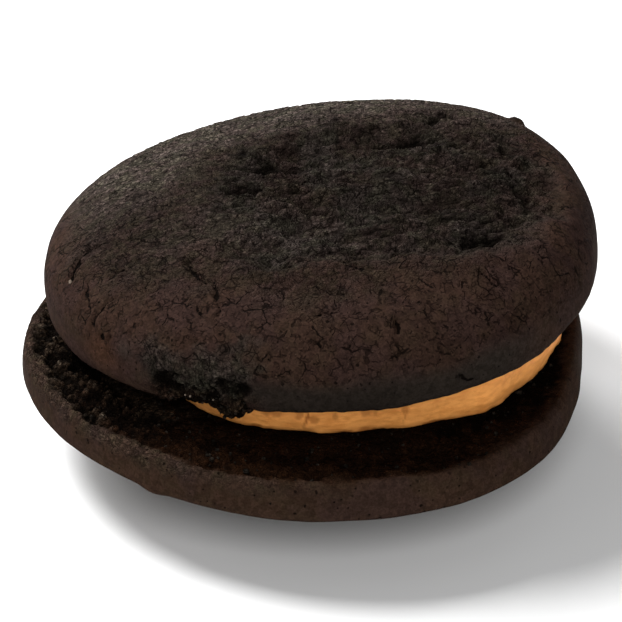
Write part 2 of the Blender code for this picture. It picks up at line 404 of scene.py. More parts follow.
def shingles(points, size, seed, edge, lean):
    """Flat flakes from 0 to about 1, one over each cell of a bent cell pattern, each leaning its own way.

    A flake's height is 0.35 plus 0.45 times its cell's number, plus the lean times how far the point
    lies in front of the cell's seed and a scattered share of how far it lies beside it. It falls to
    its crease over the edge share of a cell.
    """
    border, tag, away = bent_cells(points, size, seed)
    sideways = np.cos(7.0 * TURN * tag) * away[:, 0]
    height = 0.35 + 0.45 * tag + lean * (0.6 * sideways - away[:, 1])
    return smooth_step(0.0, edge, border) * height


def terraces(points, size, seed, steps):
    """Layered noise cut into flat ledges with steep sides, and how near each point is to a ledge's foot.

    The noise is multiplied by the number of steps. Its whole part is the ledge, and its remainder
    past 0.6 rises to the next one.
    """
    height = steps * layered_noise(points, size, seed, 3)
    level = np.floor(height)
    part = height - level
    foot = smooth_step(0.3, 0.58, part) * (1.0 - smooth_step(0.6, 0.78, part))
    return level + smooth_step(0.6, 0.95, part), foot


# ---------------------------------------------------------------- grids and meshes


def along(profile_radius, profile_height, arcs):
    """(radius, height) at the given distances along a profile."""
    steps = np.hypot(np.diff(profile_radius), np.diff(profile_height))
    reached = np.concatenate(([0.0], np.cumsum(steps)))
    return np.interp(arcs, reached, profile_radius), np.interp(arcs, reached, profile_height)


def roundness(angle, lobes, radius):
    """Factor on the radius, for lobes of a count, a height and a direction.

    It is 1 plus the sum of height / radius * cos(count * (angle - direction)).
    """
    factor = np.ones_like(angle)
    for count, height, direction in lobes:
        factor += height / radius * np.cos(count * (angle - math.radians(direction)))
    return factor


def ring_quads(first, second, count):
    """Quads between two rings of vertices that start at these indices, the first one nearer the top."""
    here = np.arange(count)
    after = (here + 1) % count
    return np.column_stack((first + here, second + here, second + after, first + after))


def polar_grid(row_count, angle_count):
    """Row and angle numbers, and faces, of a closed shell turned from one pole to the other.

    Row 0 and the last row are single points. The rows between them have angle_count points each.
    """
    rows = np.repeat(np.arange(1, row_count - 1), angle_count)
    angles = np.tile(np.arange(angle_count), row_count - 2)
    rows = np.concatenate(([0], rows, [row_count - 1]))
    angles = np.concatenate(([0], angles, [0]))
    starts = 1 + np.arange(row_count - 2) * angle_count
    quads = [ring_quads(start, start + angle_count, angle_count) for start in starts[:-1]]
    here = np.arange(angle_count)
    after = (here + 1) % angle_count
    last = len(rows) - 1
    cap = np.column_stack((np.zeros_like(here), 1 + here, 1 + after))
    foot = np.column_stack((starts[-1] + here, np.full_like(here, last), starts[-1] + after))
    return rows, angles, np.concatenate(quads), np.concatenate((cap, foot))


def disc_grid(count):
    """Share of the radius, angle and quads of a square grid drawn out into a disc.

    A point (a, b) of the square goes to the ring max(|a|, |b|), and its place along the square's
    side becomes an angle, so that all the quads keep about the same size.
    """
    side = np.linspace(-1.0, 1.0, count + 1)
    a, b = [axis.ravel() for axis in np.meshgrid(side, side, indexing="ij")]
    reach = np.maximum(np.abs(a), np.abs(b))
    safe_a = np.where(a == 0.0, 1.0, a)
    safe_b = np.where(b == 0.0, 1.0, b)
    across = TURN / 8.0 * b / safe_a + np.where(a < 0.0, math.pi, 0.0)
    upright = TURN / 4.0 - TURN / 8.0 * a / safe_b + np.where(b < 0.0, math.pi, 0.0)
    angle = np.where(np.abs(a) >= np.abs(b), across, upright) % TURN
    index = np.arange((count + 1) ** 2).reshape(count + 1, count + 1)
    corners = (index[:-1, :-1], index[1:, :-1], index[1:, 1:], index[:-1, 1:])
    quads = np.column_stack([corner.ravel() for corner in corners])
    rim = np.concatenate((index[-1, :-1], index[:0:-1, -1], index[0, :0:-1], index[:-1, 0]))
    return reach, angle, quads, rim


def vertex_normals(points, quads, triangles):
    """Unit normals: the sum of the area normals of the faces round each vertex."""
    total = np.zeros_like(points)
    for faces in (quads, triangles):
        corner = [points[faces[:, side]] for side in range(faces.shape[1])]
        normal = np.cross(corner[2] - corner[0], corner[-1] - corner[1])
        for side in range(faces.shape[1]):
            for axis in range(3):
                total[:, axis] += np.bincount(faces[:, side], normal[:, axis], len(points))
    return total / np.linalg.norm(total, axis=1, keepdims=True).clip(1e-12)


def make_piece(name, points, quads, triangles, attributes, material, replaced=None):
    """Put arrays in millimetres into a mesh object in metres that rides on the pie's body.

    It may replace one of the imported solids.
    """
    mesh = bpy.data.meshes.new(name)
    mesh.from_pydata((points * MM).tolist(), [], quads.tolist() + triangles.tolist())
    for key, values in attributes.items():
        mesh.attributes.new(key, "FLOAT", "POINT").data.foreach_set("value", values)
    mesh.materials.append(material)
    mesh.shade_smooth()
    piece = bpy.data.objects.new(name, mesh)
    bpy.context.scene.collection.objects.link(piece)
    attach(piece, "root")
    if replaced:
        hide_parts(replaced)


def read_vectors(mesh, kind):
    """The place, co, or the normal of each vertex, one row each."""
    found = np.empty(len(mesh.vertices) * 3, np.float32)
    mesh.vertices.foreach_get(kind, found)
    return found.reshape(-1, 3)


def read_mask(mesh, key):
    """The attribute of this name, one number for each vertex."""
    found = np.empty(len(mesh.vertices), np.float32)
    mesh.attributes[key].data.foreach_get("value", found)
    return found.astype(float)


# ---------------------------------------------------------------- measures from the frame


def node_points(name):
    """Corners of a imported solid's triangles, in millimetres, one row each."""
    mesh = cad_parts[name].data
    mesh.calc_loop_triangles()
    corner = np.empty(len(mesh.loop_triangles) * 3, np.int32)
    mesh.loop_triangles.foreach_get("vertices", corner)
    return read_vectors(mesh, "co")[corner].astype(float) / MM


def flat_side_centre(name, outward):
    """Centre, weighted by area, of the solid's faces that lie square to the outward direction."""
    corner = node_points(name).reshape(-1, 3, 3)
    normal = np.cross(corner[:, 1] - corner[:, 0], corner[:, 2] - corner[:, 0])
    area = np.linalg.norm(normal, axis=1)
    flat = normal @ outward > FLAT_COSINE * area
    return (corner[flat].mean(axis=1) * area[flat, None]).sum(axis=0) / area[flat].sum()


UPPER_TURN = np.array(Euler((math.radians(UPPER_LEAN), math.radians(UPPER_TILT), 0.0)).to_matrix())
UPPER_CENTRE = flat_side_centre("upper_cake", -UPPER_TURN[:, 2])


def upper_to_pie(points):
    """Points of the upper cake's own frame, in the frame of the whole pie."""
    return points @ UPPER_TURN.T + UPPER_CENTRE


def measured_sizes():
    """Radius and height of the upper cake, then of the lower one, in millimetres.

    A radius is the mean, over all headings, of the farthest corner near each heading.
    """
    upper = (node_points("upper_cake") - UPPER_CENTRE) @ UPPER_TURN
    lower = node_points("lower_cake")
    reach = {}
    for key, points in (("upper", upper), ("lower", lower)):
        heading = np.arctan2(points[:, 1], points[:, 0]) / TURN
        heading = np.round(heading * HEADINGS).astype(int) % HEADINGS
        farthest = np.zeros(HEADINGS)
        np.maximum.at(farthest, heading, np.hypot(points[:, 0], points[:, 1]))
        reach[key] = float(farthest.mean())
    return reach["upper"], float(upper[:, 2].max()), reach["lower"], float(lower[:, 2].max())


UPPER_RADIUS, UPPER_TOP, LOWER_RADIUS, LOWER_HEIGHT = measured_sizes()
UPPER_HEIGHT = UPPER_DOME_FACTOR * UPPER_TOP


# ---------------------------------------------------------------- upper cake


def upper_profile():
    """Half section of the upper cake from its crown to the middle of its crumb side.

    The dome is a superellipse, the edge under the widest ring a quarter of an ellipse.
    """
    angle = np.linspace(0.0, TURN / 4.0, PROFILE_POINTS)
    base_radius = UPPER_BASE_SHARE * UPPER_RADIUS
    rise = UPPER_HEIGHT - UPPER_WIDEST_HEIGHT
    dome_radius = UPPER_RADIUS * np.sin(angle) ** (2.0 / UPPER_DOME_RADIAL_POWER)
    dome_height = UPPER_WIDEST_HEIGHT + rise * np.cos(angle) ** (2.0 / UPPER_DOME_RISE_POWER)
    edge_radius = base_radius + (UPPER_RADIUS - base_radius) * np.cos(angle)
    edge_height = UPPER_WIDEST_HEIGHT * (1.0 - np.sin(angle))
    radius = np.concatenate((dome_radius, edge_radius[1:], [0.0]))
    height = np.concatenate((dome_height, edge_height[1:], [0.0]))
    return radius, height


def upper_surface(arc, angle):
    """Point of the smooth upper cake at a distance from the crown along the profile, and an angle.

    The turned profile is drawn out of round by its lobes. Its height then changes in proportion to
    itself and to x and y, so that the dome is higher at the right.
    """
    radius, height = along(*upper_profile(), arc)
    radius = radius * roundness(angle, UPPER_LOBES, UPPER_RADIUS)
    x = radius * np.cos(angle)
    y = radius * np.sin(angle)
    slope = (UPPER_RISE_RIGHT * x + UPPER_RISE_BACK * y) / UPPER_RADIUS
    return np.column_stack((x, y, height * (1.0 + height / UPPER_HEIGHT * slope)))


def hollow_depth(points):
    """Depth of the hollows at each point, and the painted shade inside each, from 0 to 1.

    Each hollow is a bowl over an ellipse whose outline is bent by noise, steepest at its rim.
    """
    bent = points + 1.1 * noise_vectors(points, 2.6, 301) + 0.5 * noise_vectors(points, 1.0, 305)
    depth = np.zeros(len(points))
    shade = np.zeros(len(points))
    for x, y, length, width, direction, deep in HOLLOWS:
        turn = math.radians(direction)
        lengthwise = (bent[:, 0] - x) * math.cos(turn) + (bent[:, 1] - y) * math.sin(turn)
        crosswise = (bent[:, 1] - y) * math.cos(turn) - (bent[:, 0] - x) * math.sin(turn)
        out = np.hypot(2.0 * lengthwise / length, 2.0 * crosswise / width)
        bowl = np.where(points[:, 2] > 1.0, 1.0 - smooth_step(0.35, 1.25, out), 0.0)
        depth = np.maximum(depth, deep * bowl)
        shade = np.maximum(shade, min(1.0, 0.85 * deep) * bowl)
    return depth, shade


def long_crack_gap(points, normals):
    """Distance to the nearest longer crack beyond its own half width, and its groove's depth there.

    Each crack runs along a straight line bent by noise, and is narrower towards both ends. The
    distance is measured along the surface, so a crack follows its curve.
    """
    bent = points + 0.6 * noise_vectors(points, 1.5, 331) + 0.25 * noise_vectors(points, 0.6, 335)
    gap = np.full(len(points), NO_CRACK)
    depth = np.zeros(len(points))
    for start, end, width, deep in CRACKS:
        first = np.array(start)
        step = np.array(end) - first
        share = ((bent - first) @ step / (step @ step)).clip(0.0, 1.0)
        away = bent - first - share[:, None] * step
        outward = (away * normals).sum(axis=1)
        along_surface = np.linalg.norm(away - outward[:, None] * normals, axis=1)
        along_surface += np.where(np.abs(outward) > 3.0, FAR, 0.0)
        half = 0.5 * width * (0.25 + 0.75 * np.sin(math.pi * (0.08 + 0.84 * share)))
        gap = np.minimum(gap, along_surface - half)
        depth = np.maximum(depth, deep * (1.0 - smooth_step(0.0, 0.45, along_surface - half)))
    return gap, depth


def side_gap_depth(points, angle):
    """Depth of the gaps in the side: bowls over an ellipse of direction and height, bent by noise."""
    depth = np.zeros(len(points))
    for direction, height, half_turn, half_height, deep in SIDE_GAPS:
        out = np.hypot(turn_from(angle, direction) / half_turn, (points[:, 2] - height) / half_height)
        out += 0.35 * noise(points, 1.3, 321)
        depth = np.maximum(depth, deep * (1.0 - smooth_step(0.3, 1.2, out)))
    return depth


def upper_top(points, wander):
    """Shares from 0 to 1 of the upper cake's top: how sunken, how rough, and how much of a rim.

    The sunken part is a superellipse with an outline bent by noise. It ends most steeply at the
    front right, where the rim rises as a bell beside it.
    """
    x, y, z = points.T
    top = smooth_step(*TOP_HEIGHTS, z)
    across = np.abs((x - SUNK_CENTRE[0]) / SUNK_REACH[0])
    lengthwise = np.abs((y - SUNK_CENTRE[1]) / SUNK_REACH[1])
    out = (across**SUNK_POWER + lengthwise**SUNK_POWER) ** (1.0 / SUNK_POWER)
    out += 0.08 * wander + 0.06 * noise(points, 3.5, 5)
    front_right = smooth_step(-0.2, 0.8, (0.45 * x - 0.9 * y) / 30.0)
    shoulder = 0.36 - 0.2 * front_right
    sunk = top * (1.0 - smooth_step(1.0 - shoulder, 1.0 + 0.5 * shoulder, out))
    rough = top * (1.0 - smooth_step(0.86, 1.12, out + 0.05 * noise(points, 1.6, 15)))
    return sunk, rough, top * front_right * spot((out - 1.12, 0.09))


def torn_edge(points, angle):
    """Shares from 0 to 1 of the torn lower edge, the frayed crust round it, and their part of the side."""
    z = points[:, 2]
    turn = turn_from(angle, TEAR_DIRECTION)
    ragged = 1.5 * noise(points, 3.0, 11) + 1.3 * noise(points, 1.2, 13)
    stretch = 1.0 - smooth_step(*TEAR_TURNS, np.abs(turn) + ragged)
    tear = stretch * (1.0 - smooth_step(*TEAR_HEIGHTS, z + 0.9 * ragged))
    frayed_height = FRAYED_HEIGHT + FRAYED_RISE * smooth_step(-5.0, 1.0, turn)
    frayed = 1.0 - smooth_step(*FRAYED_TURNS, np.abs(turn) + ragged)
    frayed *= 1.0 - smooth_step(frayed_height, frayed_height + FRAYED_FADE, z + ragged)
    return tear, frayed, stretch


def hanging_hem(points, angle, stretch, underside):
    """How far the lower edge moves along z: up and down by noise, and down in a flap beside the tear.

    The flap hangs between two directions, in the torn stretch. All of it fades out 5 mm up the side.
    """
    heading = np.degrees(angle) % 360.0
    flap = smooth_step(*FLAP_START, heading) * (1.0 - smooth_step(*FLAP_END, heading))
    flap *= FLAP_LENGTH + 0.4 * noise(points, 1.7, 91)
    hem = (0.12 + 0.2 * stretch) * noise(points, 1.1, 93) + 0.08 * noise(points, 2.6, 94) - flap * stretch
    hem += 0.5 * spot((turn_from(angle, 324.0), 9.0)) - 0.5 * spot((turn_from(angle, 281.0), 12.0))
    hem *= (1.0 - smooth_step(0.5, 5.0, points[:, 2])) * (1.0 - 0.9 * underside * (1.0 - stretch))
    return np.column_stack((np.zeros_like(hem), np.zeros_like(hem), hem))


def upper_relief(points, normals, angle, settings):
    """Masks from 0 to 1 over the upper cake, its relief along the normal, and its hanging torn edge."""
    x, y, z = points.T
    wander = noise(points, 9.0, 3)
    sunk, rough, rim = upper_top(points, wander)
    tear, frayed, stretch = torn_edge(points, angle)
    ragged_height = z + 0.07 * y - 0.03 * x + 1.2 * noise(points, 7.0, 7) + 0.8 * noise(points, 2.0, 9)
    gritty = np.maximum(smooth_step(*GRIT_HEIGHTS, ragged_height), rough)
    grit_only = gritty * (1.0 - rough)
    band = (1.0 - smooth_step(*BAND_HEIGHTS, z + 1.2 * wander)) * (1.0 - tear) * (1.0 - frayed)
    underside = 1.0 - smooth_step(0.0, 0.05, z)

    # Relief: ledges, wrinkles and flakes of the rough top, pebbles of the grit, clods of the tear.
    long_way = points * (0.55, 1.0, 1.0)
    ledges, foot = terraces(long_way, 7.5, 31, 3.4)
    foot *= smooth_step(-0.25, 0.3, noise(points, 5.0, 39))
    flakes = shingles(long_way, 2.1, 45, 0.2, 0.75)
    small_flakes = shingles(long_way, 1.15, 47, 0.3, 0.5)
    bent = points * (0.7, 1.0, 1.0) + 0.5 * noise_vectors(points, 1.5, 43)
    pebbles = shingles(bent, 1.5, 41, 0.3, 0.6)
    torn_grains = 0.6 * clumps(points, 1.9, 71, 0.4) + 0.5 * clumps(points, 1.0, 75, 0.4)
    torn_grains += 0.45 * layered_noise(points, 2.4, 79, 2)
    hollows, hollow_shade = hollow_depth(points)
    gaps = side_gap_depth(points, angle)
    crack_gap, cracks = long_crack_gap(points, normals)
    lump_gap = np.linalg.norm((points - LUMP_PLACE) / LUMP_REACH, axis=1)
    lump = 1.0 - smooth_step(0.35, 1.15, lump_gap + 0.3 * noise(points, 1.2, 83))

    rough_relief = 0.5 * np.minimum(ledges, 1.0) + 0.35 * layered_noise(long_way, 3.4, 35, 2)
    rough_relief += 0.55 * (flakes - 0.55) + 0.3 * (small_flakes - 0.55)
    relief = 0.2 * layered_noise(points, 15.0, 21, 2) - settings.sunk_depth / MM * sunk + 0.4 * rim
    relief += rough * settings.wrinkle_depth / MM * rough_relief + grit_only * 0.28 * (pebbles - 0.55)
    relief -= hollows * (0.7 + 0.5 * small_flakes) + cracks + gaps + 0.2 * tear
    relief += 1.05 * np.maximum(tear, 0.5 * frayed * smooth_step(1.0, 3.0, z)) * (torn_grains - 0.6)
    relief = (relief + 0.75 * lump) * (1.0 - 0.8 * underside)
    drop = hanging_hem(points, angle, stretch, underside)

    # Tone: above 0 where the crust is greyer, below 0 where it is redder. Along the front band the grey is a
    # painted sheen.
    front_band = band * np.exp(-((turn_from(angle, 289.0) / 50.0) ** 4))
    front_band *= 1.0 - 0.75 * smooth_step(303.0, 318.0, np.degrees(angle) % 360.0)
    patches = smooth_step(-0.5, 0.5, noise(points, 6.0, 95) + 0.5 * noise(points, 2.5, 97))
    tone = rough * (0.55 + 0.45 * patches) + grit_only * (0.3 + 0.2 * patches)
    tone += 0.9 * front_band + 0.8 * frayed * smooth_step(2.5, 5.0, z)
    tone += 0.6 * spot((turn_from(angle, 226.5), 2.6), (z - 7.6, 1.6))
    tone -= 0.75 * spot((turn_from(angle, 220.5), 5.5), (z - 5.8, 2.6))

    # Painted highlight, greyish: on the back left of the grit, on raised flakes, round the front of the
    # rough top, on the front left shoulder and faintly over the frayed crust, less in two spots towards the
    # back.
    back_left = smooth_step(0.0, 29.0, y - 0.4 * x + 3.0 * noise(points, 6.0, 17))
    back_left *= smooth_step(16.0, 27.0, np.hypot(x, y) + 2.0 * noise(points, 4.0, 18))
    pale = gritty * (1.0 - 0.9 * rough) * back_left * (0.9 + 0.3 * noise(points, 3.5, 98))
    pale += 0.1 * frayed * smooth_step(4.0, 6.5, z) * smooth_step(-0.2, 0.5, noise(points, 1.5, 99))
    raised = smooth_step(0.45, 0.85, flakes) * smooth_step(-0.4, 0.5, noise(points, 2.6, 100))
    pale += rough * (0.26 * raised + 0.1 * smooth_step(-4.0, -20.0, y + 2.0 * noise(points, 5.0, 101)))
    pale += 0.26 * gritty * spot((x + 14.0, 14.0), (y + 14.0, 8.0))
    pale *= 1.0 - 0.5 * spot((x - 16.0, 6.0), (y - 26.0, 5.0))
    pale *= 1.0 - 0.4 * spot((x + 16.0, 6.0), (y - 14.0, 5.0))

    # Painted shade: in hollows, gaps and creases, under ledges, between pebbles, over the torn edge and
    # along the band of the front, where the side turns under. The lump and a patch beside the front right
    # hollow are darker as well.
    crease = rough * (1.0 - smooth_step(0.05, 0.4, flakes))
    crease += 1.3 * tear * smooth_step(0.7, 0.3, torn_grains)
    between = grit_only * (1.0 - smooth_step(0.0, 0.35, pebbles))
    dark = hollow_shade + 1.2 * gaps + 0.5 * crease + 0.5 * rough * foot + 0.3 * between + 0.6 * lump
    dark += (0.62 - 0.2 * smooth_step(5.0, 30.0, x)) * front_band + 0.25 * np.maximum(frayed, tear)
    dark += 0.28 * spot((x - 24.5, 6.0), (y + 11.5, 4.5))
    masks = {
        "crumb": np.maximum(tear, 0.9 * underside),
        "tone": tone.clip(-1.0, 1.0),
        "gritty": np.maximum(gritty, 0.9 * frayed),
        "ragged": np.maximum(tear, 0.6 * frayed),
        "band": band,
        "dark": dark.clip(0.0, 1.0),
        "pale": pale.clip(0.0, 1.0),
        "crack_gap": crack_gap,
    }
    return masks, relief, drop


def make_upper_cake(settings):
    """A disc grid over the crown, then rings down the side and in under the crumb side to a pole."""
    count = UPPER_GRID
    ring_size = 4 * count
    reach, angle, quads, rim = disc_grid(count)
    profile_radius, profile_height = upper_profile()
    total_arc = float(np.hypot(np.diff(profile_radius), np.diff(profile_height)).sum())
    side_arcs = np.linspace(UPPER_CROWN_ARC, UPPER_SIDE_ARC, UPPER_SIDE_RINGS + 1)[1:]
    inward = np.linspace(0.0, 1.0, UPPER_UNDER_RINGS + 2)[1:-1] ** UPPER_UNDER_CROWDING
    ring_arcs = np.concatenate((side_arcs, UPPER_SIDE_ARC + (total_arc - UPPER_SIDE_ARC) * inward))
    arcs = np.concatenate((reach * UPPER_CROWN_ARC, np.repeat(ring_arcs, ring_size), [total_arc]))
    angles = np.concatenate((angle, np.tile(angle[rim], len(ring_arcs)), [0.0]))

    first_ring = (count + 1) ** 2
    here = np.arange(ring_size)
    after = (here + 1) % ring_size
    join = np.column_stack((rim, first_ring + here, first_ring + after, rim[after]))
    starts = first_ring + ring_size * np.arange(len(ring_arcs))
    rings = [ring_quads(start, start + ring_size, ring_size) for start in starts[:-1]]
    quads = np.concatenate([quads, join] + rings)
    pole = len(arcs) - 1
    foot = np.column_stack((starts[-1] + here, np.full_like(here, pole), starts[-1] + after))

    points = upper_surface(arcs, angles)
    normals = vertex_normals(points, quads, foot)
    masks, relief, drop = upper_relief(points, normals, angles, settings)
    points = upper_to_pie(points + normals * relief[:, None] + drop)
    material = cake_material("upper_cake", settings.crust_colour, settings.crumb_colour)
    make_piece("upper_cake_crust", points, quads, foot, masks, material, "upper_cake")


# ---------------------------------------------------------------- lower cake


def lower_profile():
    """Half section of the lower cake from the middle of its crumb side to its resting spot.

    The crumb side is flat, the edge down to the widest ring is a quarter of an ellipse, and the
    dome under it is a superellipse about the resting spot.
    """
    angle = np.linspace(0.0, TURN / 4.0, PROFILE_POINTS)
    crumb_radius = LOWER_CRUMB_SHARE * LOWER_RADIUS
    widest_height = LOWER_HEIGHT - LOWER_WIDEST_DEPTH
    edge_radius = crumb_radius + (LOWER_RADIUS - crumb_radius) * np.sin(angle)
    edge_height = widest_height + LOWER_WIDEST_DEPTH * np.cos(angle)
    inward = np.cos(angle) ** (2.0 / LOWER_DOME_RADIAL_POWER)
    downward = np.sin(angle) ** (2.0 / LOWER_DOME_RISE_POWER)
    dome_radius = LOWER_REST_RADIUS + (LOWER_RADIUS - LOWER_REST_RADIUS) * inward
    dome_height = widest_height * (1.0 - downward)
    radius = np.concatenate(([0.0], edge_radius, dome_radius[1:], [0.0]))
    height = np.concatenate(([LOWER_HEIGHT], edge_height, dome_height[1:], [0.0]))
    return radius, height


def lower_relief(points, angle, radius, settings):
    """Masks from 0 to 1 over the lower cake and its relief along the normal.

    The crumb side ends at an edge bent by noise. Its relief is lumps of three sizes with shreds and
    pits, coarsest at the far left, and calmer where the crumb is dense.
    """
    z = points[:, 2]
    left = 0.5 + 0.5 * np.cos(np.radians(turn_from(angle, OPEN_DIRECTION)))
    open_side = smooth_step(0.5, 0.9, left + 0.12 * noise(points, 7.0, 109))
    far_left = 0.5 + 0.5 * np.cos(np.radians(turn_from(angle, CHUNKY_DIRECTION)))
    chunky = smooth_step(0.72, 0.98, far_left + 0.1 * noise(points, 5.0, 110))
    edge = LOWER_CRUMB_SHARE * LOWER_RADIUS - 0.9
    edge = edge + 0.75 * noise(points, 4.5, 111) + 0.6 * noise(points, 1.3, 113)
    soft = 2.2 - 1.6 * open_side
    crumb = smooth_step(LOWER_HEIGHT - 1.6, LOWER_HEIGHT - 0.9, z)
    crumb = crumb * (1.0 - smooth_step(-soft, soft, radius - edge))
    bare = smooth_step(*BARE_RADII, radius)
    frayed = smooth_step(LOWER_HEIGHT - 2.8, LOWER_HEIGHT - 0.7, z + 0.8 * noise(points, 1.6, 115))
    frayed *= (1.0 - crumb) * (0.12 + 0.88 * open_side)
    off_rest = smooth_step(0.2, 1.6, z)

    # Relief.
    clods = clumps(points, 1.7, 135, 0.35)
    fine = clumps(points, 1.0, 139, 0.4)
    pits = smooth_step(0.25, 0.6, layered_noise(points, 2.6, 141, 2))
    open_crumb = 0.85 * (clumps(points, 3.0, 131, 0.35) - 0.5) + 0.6 * (clods - 0.5) + 0.25 * (fine - 0.5)
    open_crumb += 0.4 * layered_noise(points, 2.2, 143, 2) - 0.7 * pits
    dense = smooth_step(-0.15, 0.55, noise(points, 11.0, 147) + 0.4 * noise(points, 4.0, 149))
    calm = (1.0 - 0.4 * dense) * (0.55 + 0.7 * chunky)
    relief = crumb * bare * (settings.crumb_relief / MM * calm * open_crumb - LOWER_CRUMB_RECESS)
    relief += frayed * 0.28 * (clods - 0.5)
    swells = 0.2 * layered_noise(points, 14.0, 121, 2) + 0.07 * layered_noise(points, 5.5, 123, 2)
    relief += (1.0 - crumb) * off_rest * swells
    relief += 0.5 * spot((turn_from(angle, 236.5), 2.6), (z - 12.0, 2.2))

    # Tone, then painted light and painted shade. The lower side is paler and greyer towards the floor, as
    # lit by it, most of all at the front right; raised clods of the chunky crumb are paler as lit; the crumb
    # is shaded in its pits and under the upper cake's overhang beside the filling.
    painted_floor_light = smooth_step(9.0, 5.0, z + 0.8 * noise(points, 5.0, 151))
    painted_floor_light = off_rest * (painted_floor_light + 1.4 * spot((turn_from(angle, 314.0), 20.0)) * smooth_step(13.0, 7.0, z))
    tone = crumb * (0.9 * chunky - 0.9 * (1.0 - chunky)) + 0.1 * frayed + 0.35 * painted_floor_light
    tone -= 0.5 * spot((turn_from(angle, 229.0), 11.0), (z - 9.5, 3.0))
    pale = 0.1 * frayed + 0.25 * painted_floor_light + 0.42 * crumb * chunky * smooth_step(0.05, 0.5, open_crumb)
    deep = (smooth_step(0.02, 0.4, -open_crumb) + 0.3 * (1.0 - fine)) * (0.5 + 0.5 * chunky)
    from_filling = np.linalg.norm(points[:, :2] - FILLING_CENTRE, axis=1) - FILLING_REACH
    overhang_shadow = smooth_step(6.5, 1.5, from_filling + 1.2 * noise(points, 3.0, 153)) * (1.0 - 0.5 * chunky)
    dark = crumb * ((0.3 + 0.7 * bare) * deep + 0.7 * overhang_shadow)
    masks = {
        "crumb": crumb,
        "tone": tone.clip(-1.0, 1.0),
        "gritty": 0.8 * frayed,
        "ragged": np.maximum(crumb * chunky, 0.35 * frayed),
        "band": (1.0 - crumb) * (1.0 - 0.5 * frayed),
        "dark": dark.clip(0.0, 1.0),
        "pale": pale.clip(0.0, 1.0),
        "crack_gap": np.full(len(points), NO_CRACK),
    }
    return masks, relief


def make_lower_cake(settings):
    """A polar grid from the middle of the crumb side, over the lip, to the middle of the resting spot."""
    profile = lower_profile()
    total_arc = float(np.hypot(np.diff(profile[0]), np.diff(profile[1])).sum())
    stops = LOWER_STOPS + tuple((total_arc - left, count) for left, count in LOWER_LAST_STOPS)
    arcs = [np.array([0.0])]
    for (start, _), (end, count) in zip(stops[:-1], stops[1:]):
        arcs.append(np.linspace(start, end, count + 1)[1:])
    arcs = np.concatenate(arcs)
    rows, angles, quads, triangles = polar_grid(len(arcs), LOWER_ANGLES)
    angle = TURN * angles / LOWER_ANGLES
    radius, height = along(*profile, arcs[rows])
    turned = radius * roundness(angle, LOWER_LOBES, LOWER_RADIUS)
    points = np.column_stack((turned * np.cos(angle), turned * np.sin(angle), height))
    masks, relief = lower_relief(points, angle, radius, settings)
    points = points + vertex_normals(points, quads, triangles) * relief[:, None]
    material = cake_material("lower_cake", settings.crust_colour, settings.crumb_colour)
    make_piece("lower_cake_crust", points, quads, triangles, masks, material, "lower_cake")


# ---------------------------------------------------------------- filling


def upper_crumb_height(x, y):
    """Height of the upper cake's crumb side above each point (x, y)."""
    normal = UPPER_TURN[:, 2]
    rise_over = normal[0] * (x - UPPER_CENTRE[0]) + normal[1] * (y - UPPER_CENTRE[1])
    return UPPER_CENTRE[2] - rise_over / normal[2]


def filling_marks(round_place, angle, side, radius):
    """Stains and the depth of the upright cracks on the filling's side.

    A stain covers an ellipse whose outline is bent by noise. A crack is a narrow line at one
    direction that wanders with the height.
    """
    bend = 0.7 * noise(round_place, 1.3, 241) + 0.5 * noise(round_place, 0.6, 243)
    stain = np.zeros(len(angle))
    for direction, share, half_width, half_height in STAINS:
        sideways = np.radians(turn_from(angle, direction)) * radius / half_width
        out = np.hypot(sideways, (side - share) * STAIN_SIDE_HEIGHT / half_height)
        stain = np.maximum(stain, 1.0 - smooth_step(0.4, 1.3, out + bend))
    wander = 0.6 * noise(round_place * (0.0, 0.0, 1.0), 1.4, 245)
    crack = np.zeros(len(angle))
    for direction, width, depth in FILLING_CRACKS:
        sideways = np.abs(np.radians(turn_from(angle, direction)) * radius + wander)
        crack = np.maximum(crack, depth * (1.0 - smooth_step(0.3 * width, width, sideways)))
    return stain, crack * smooth_step(1.0, 0.6, side)


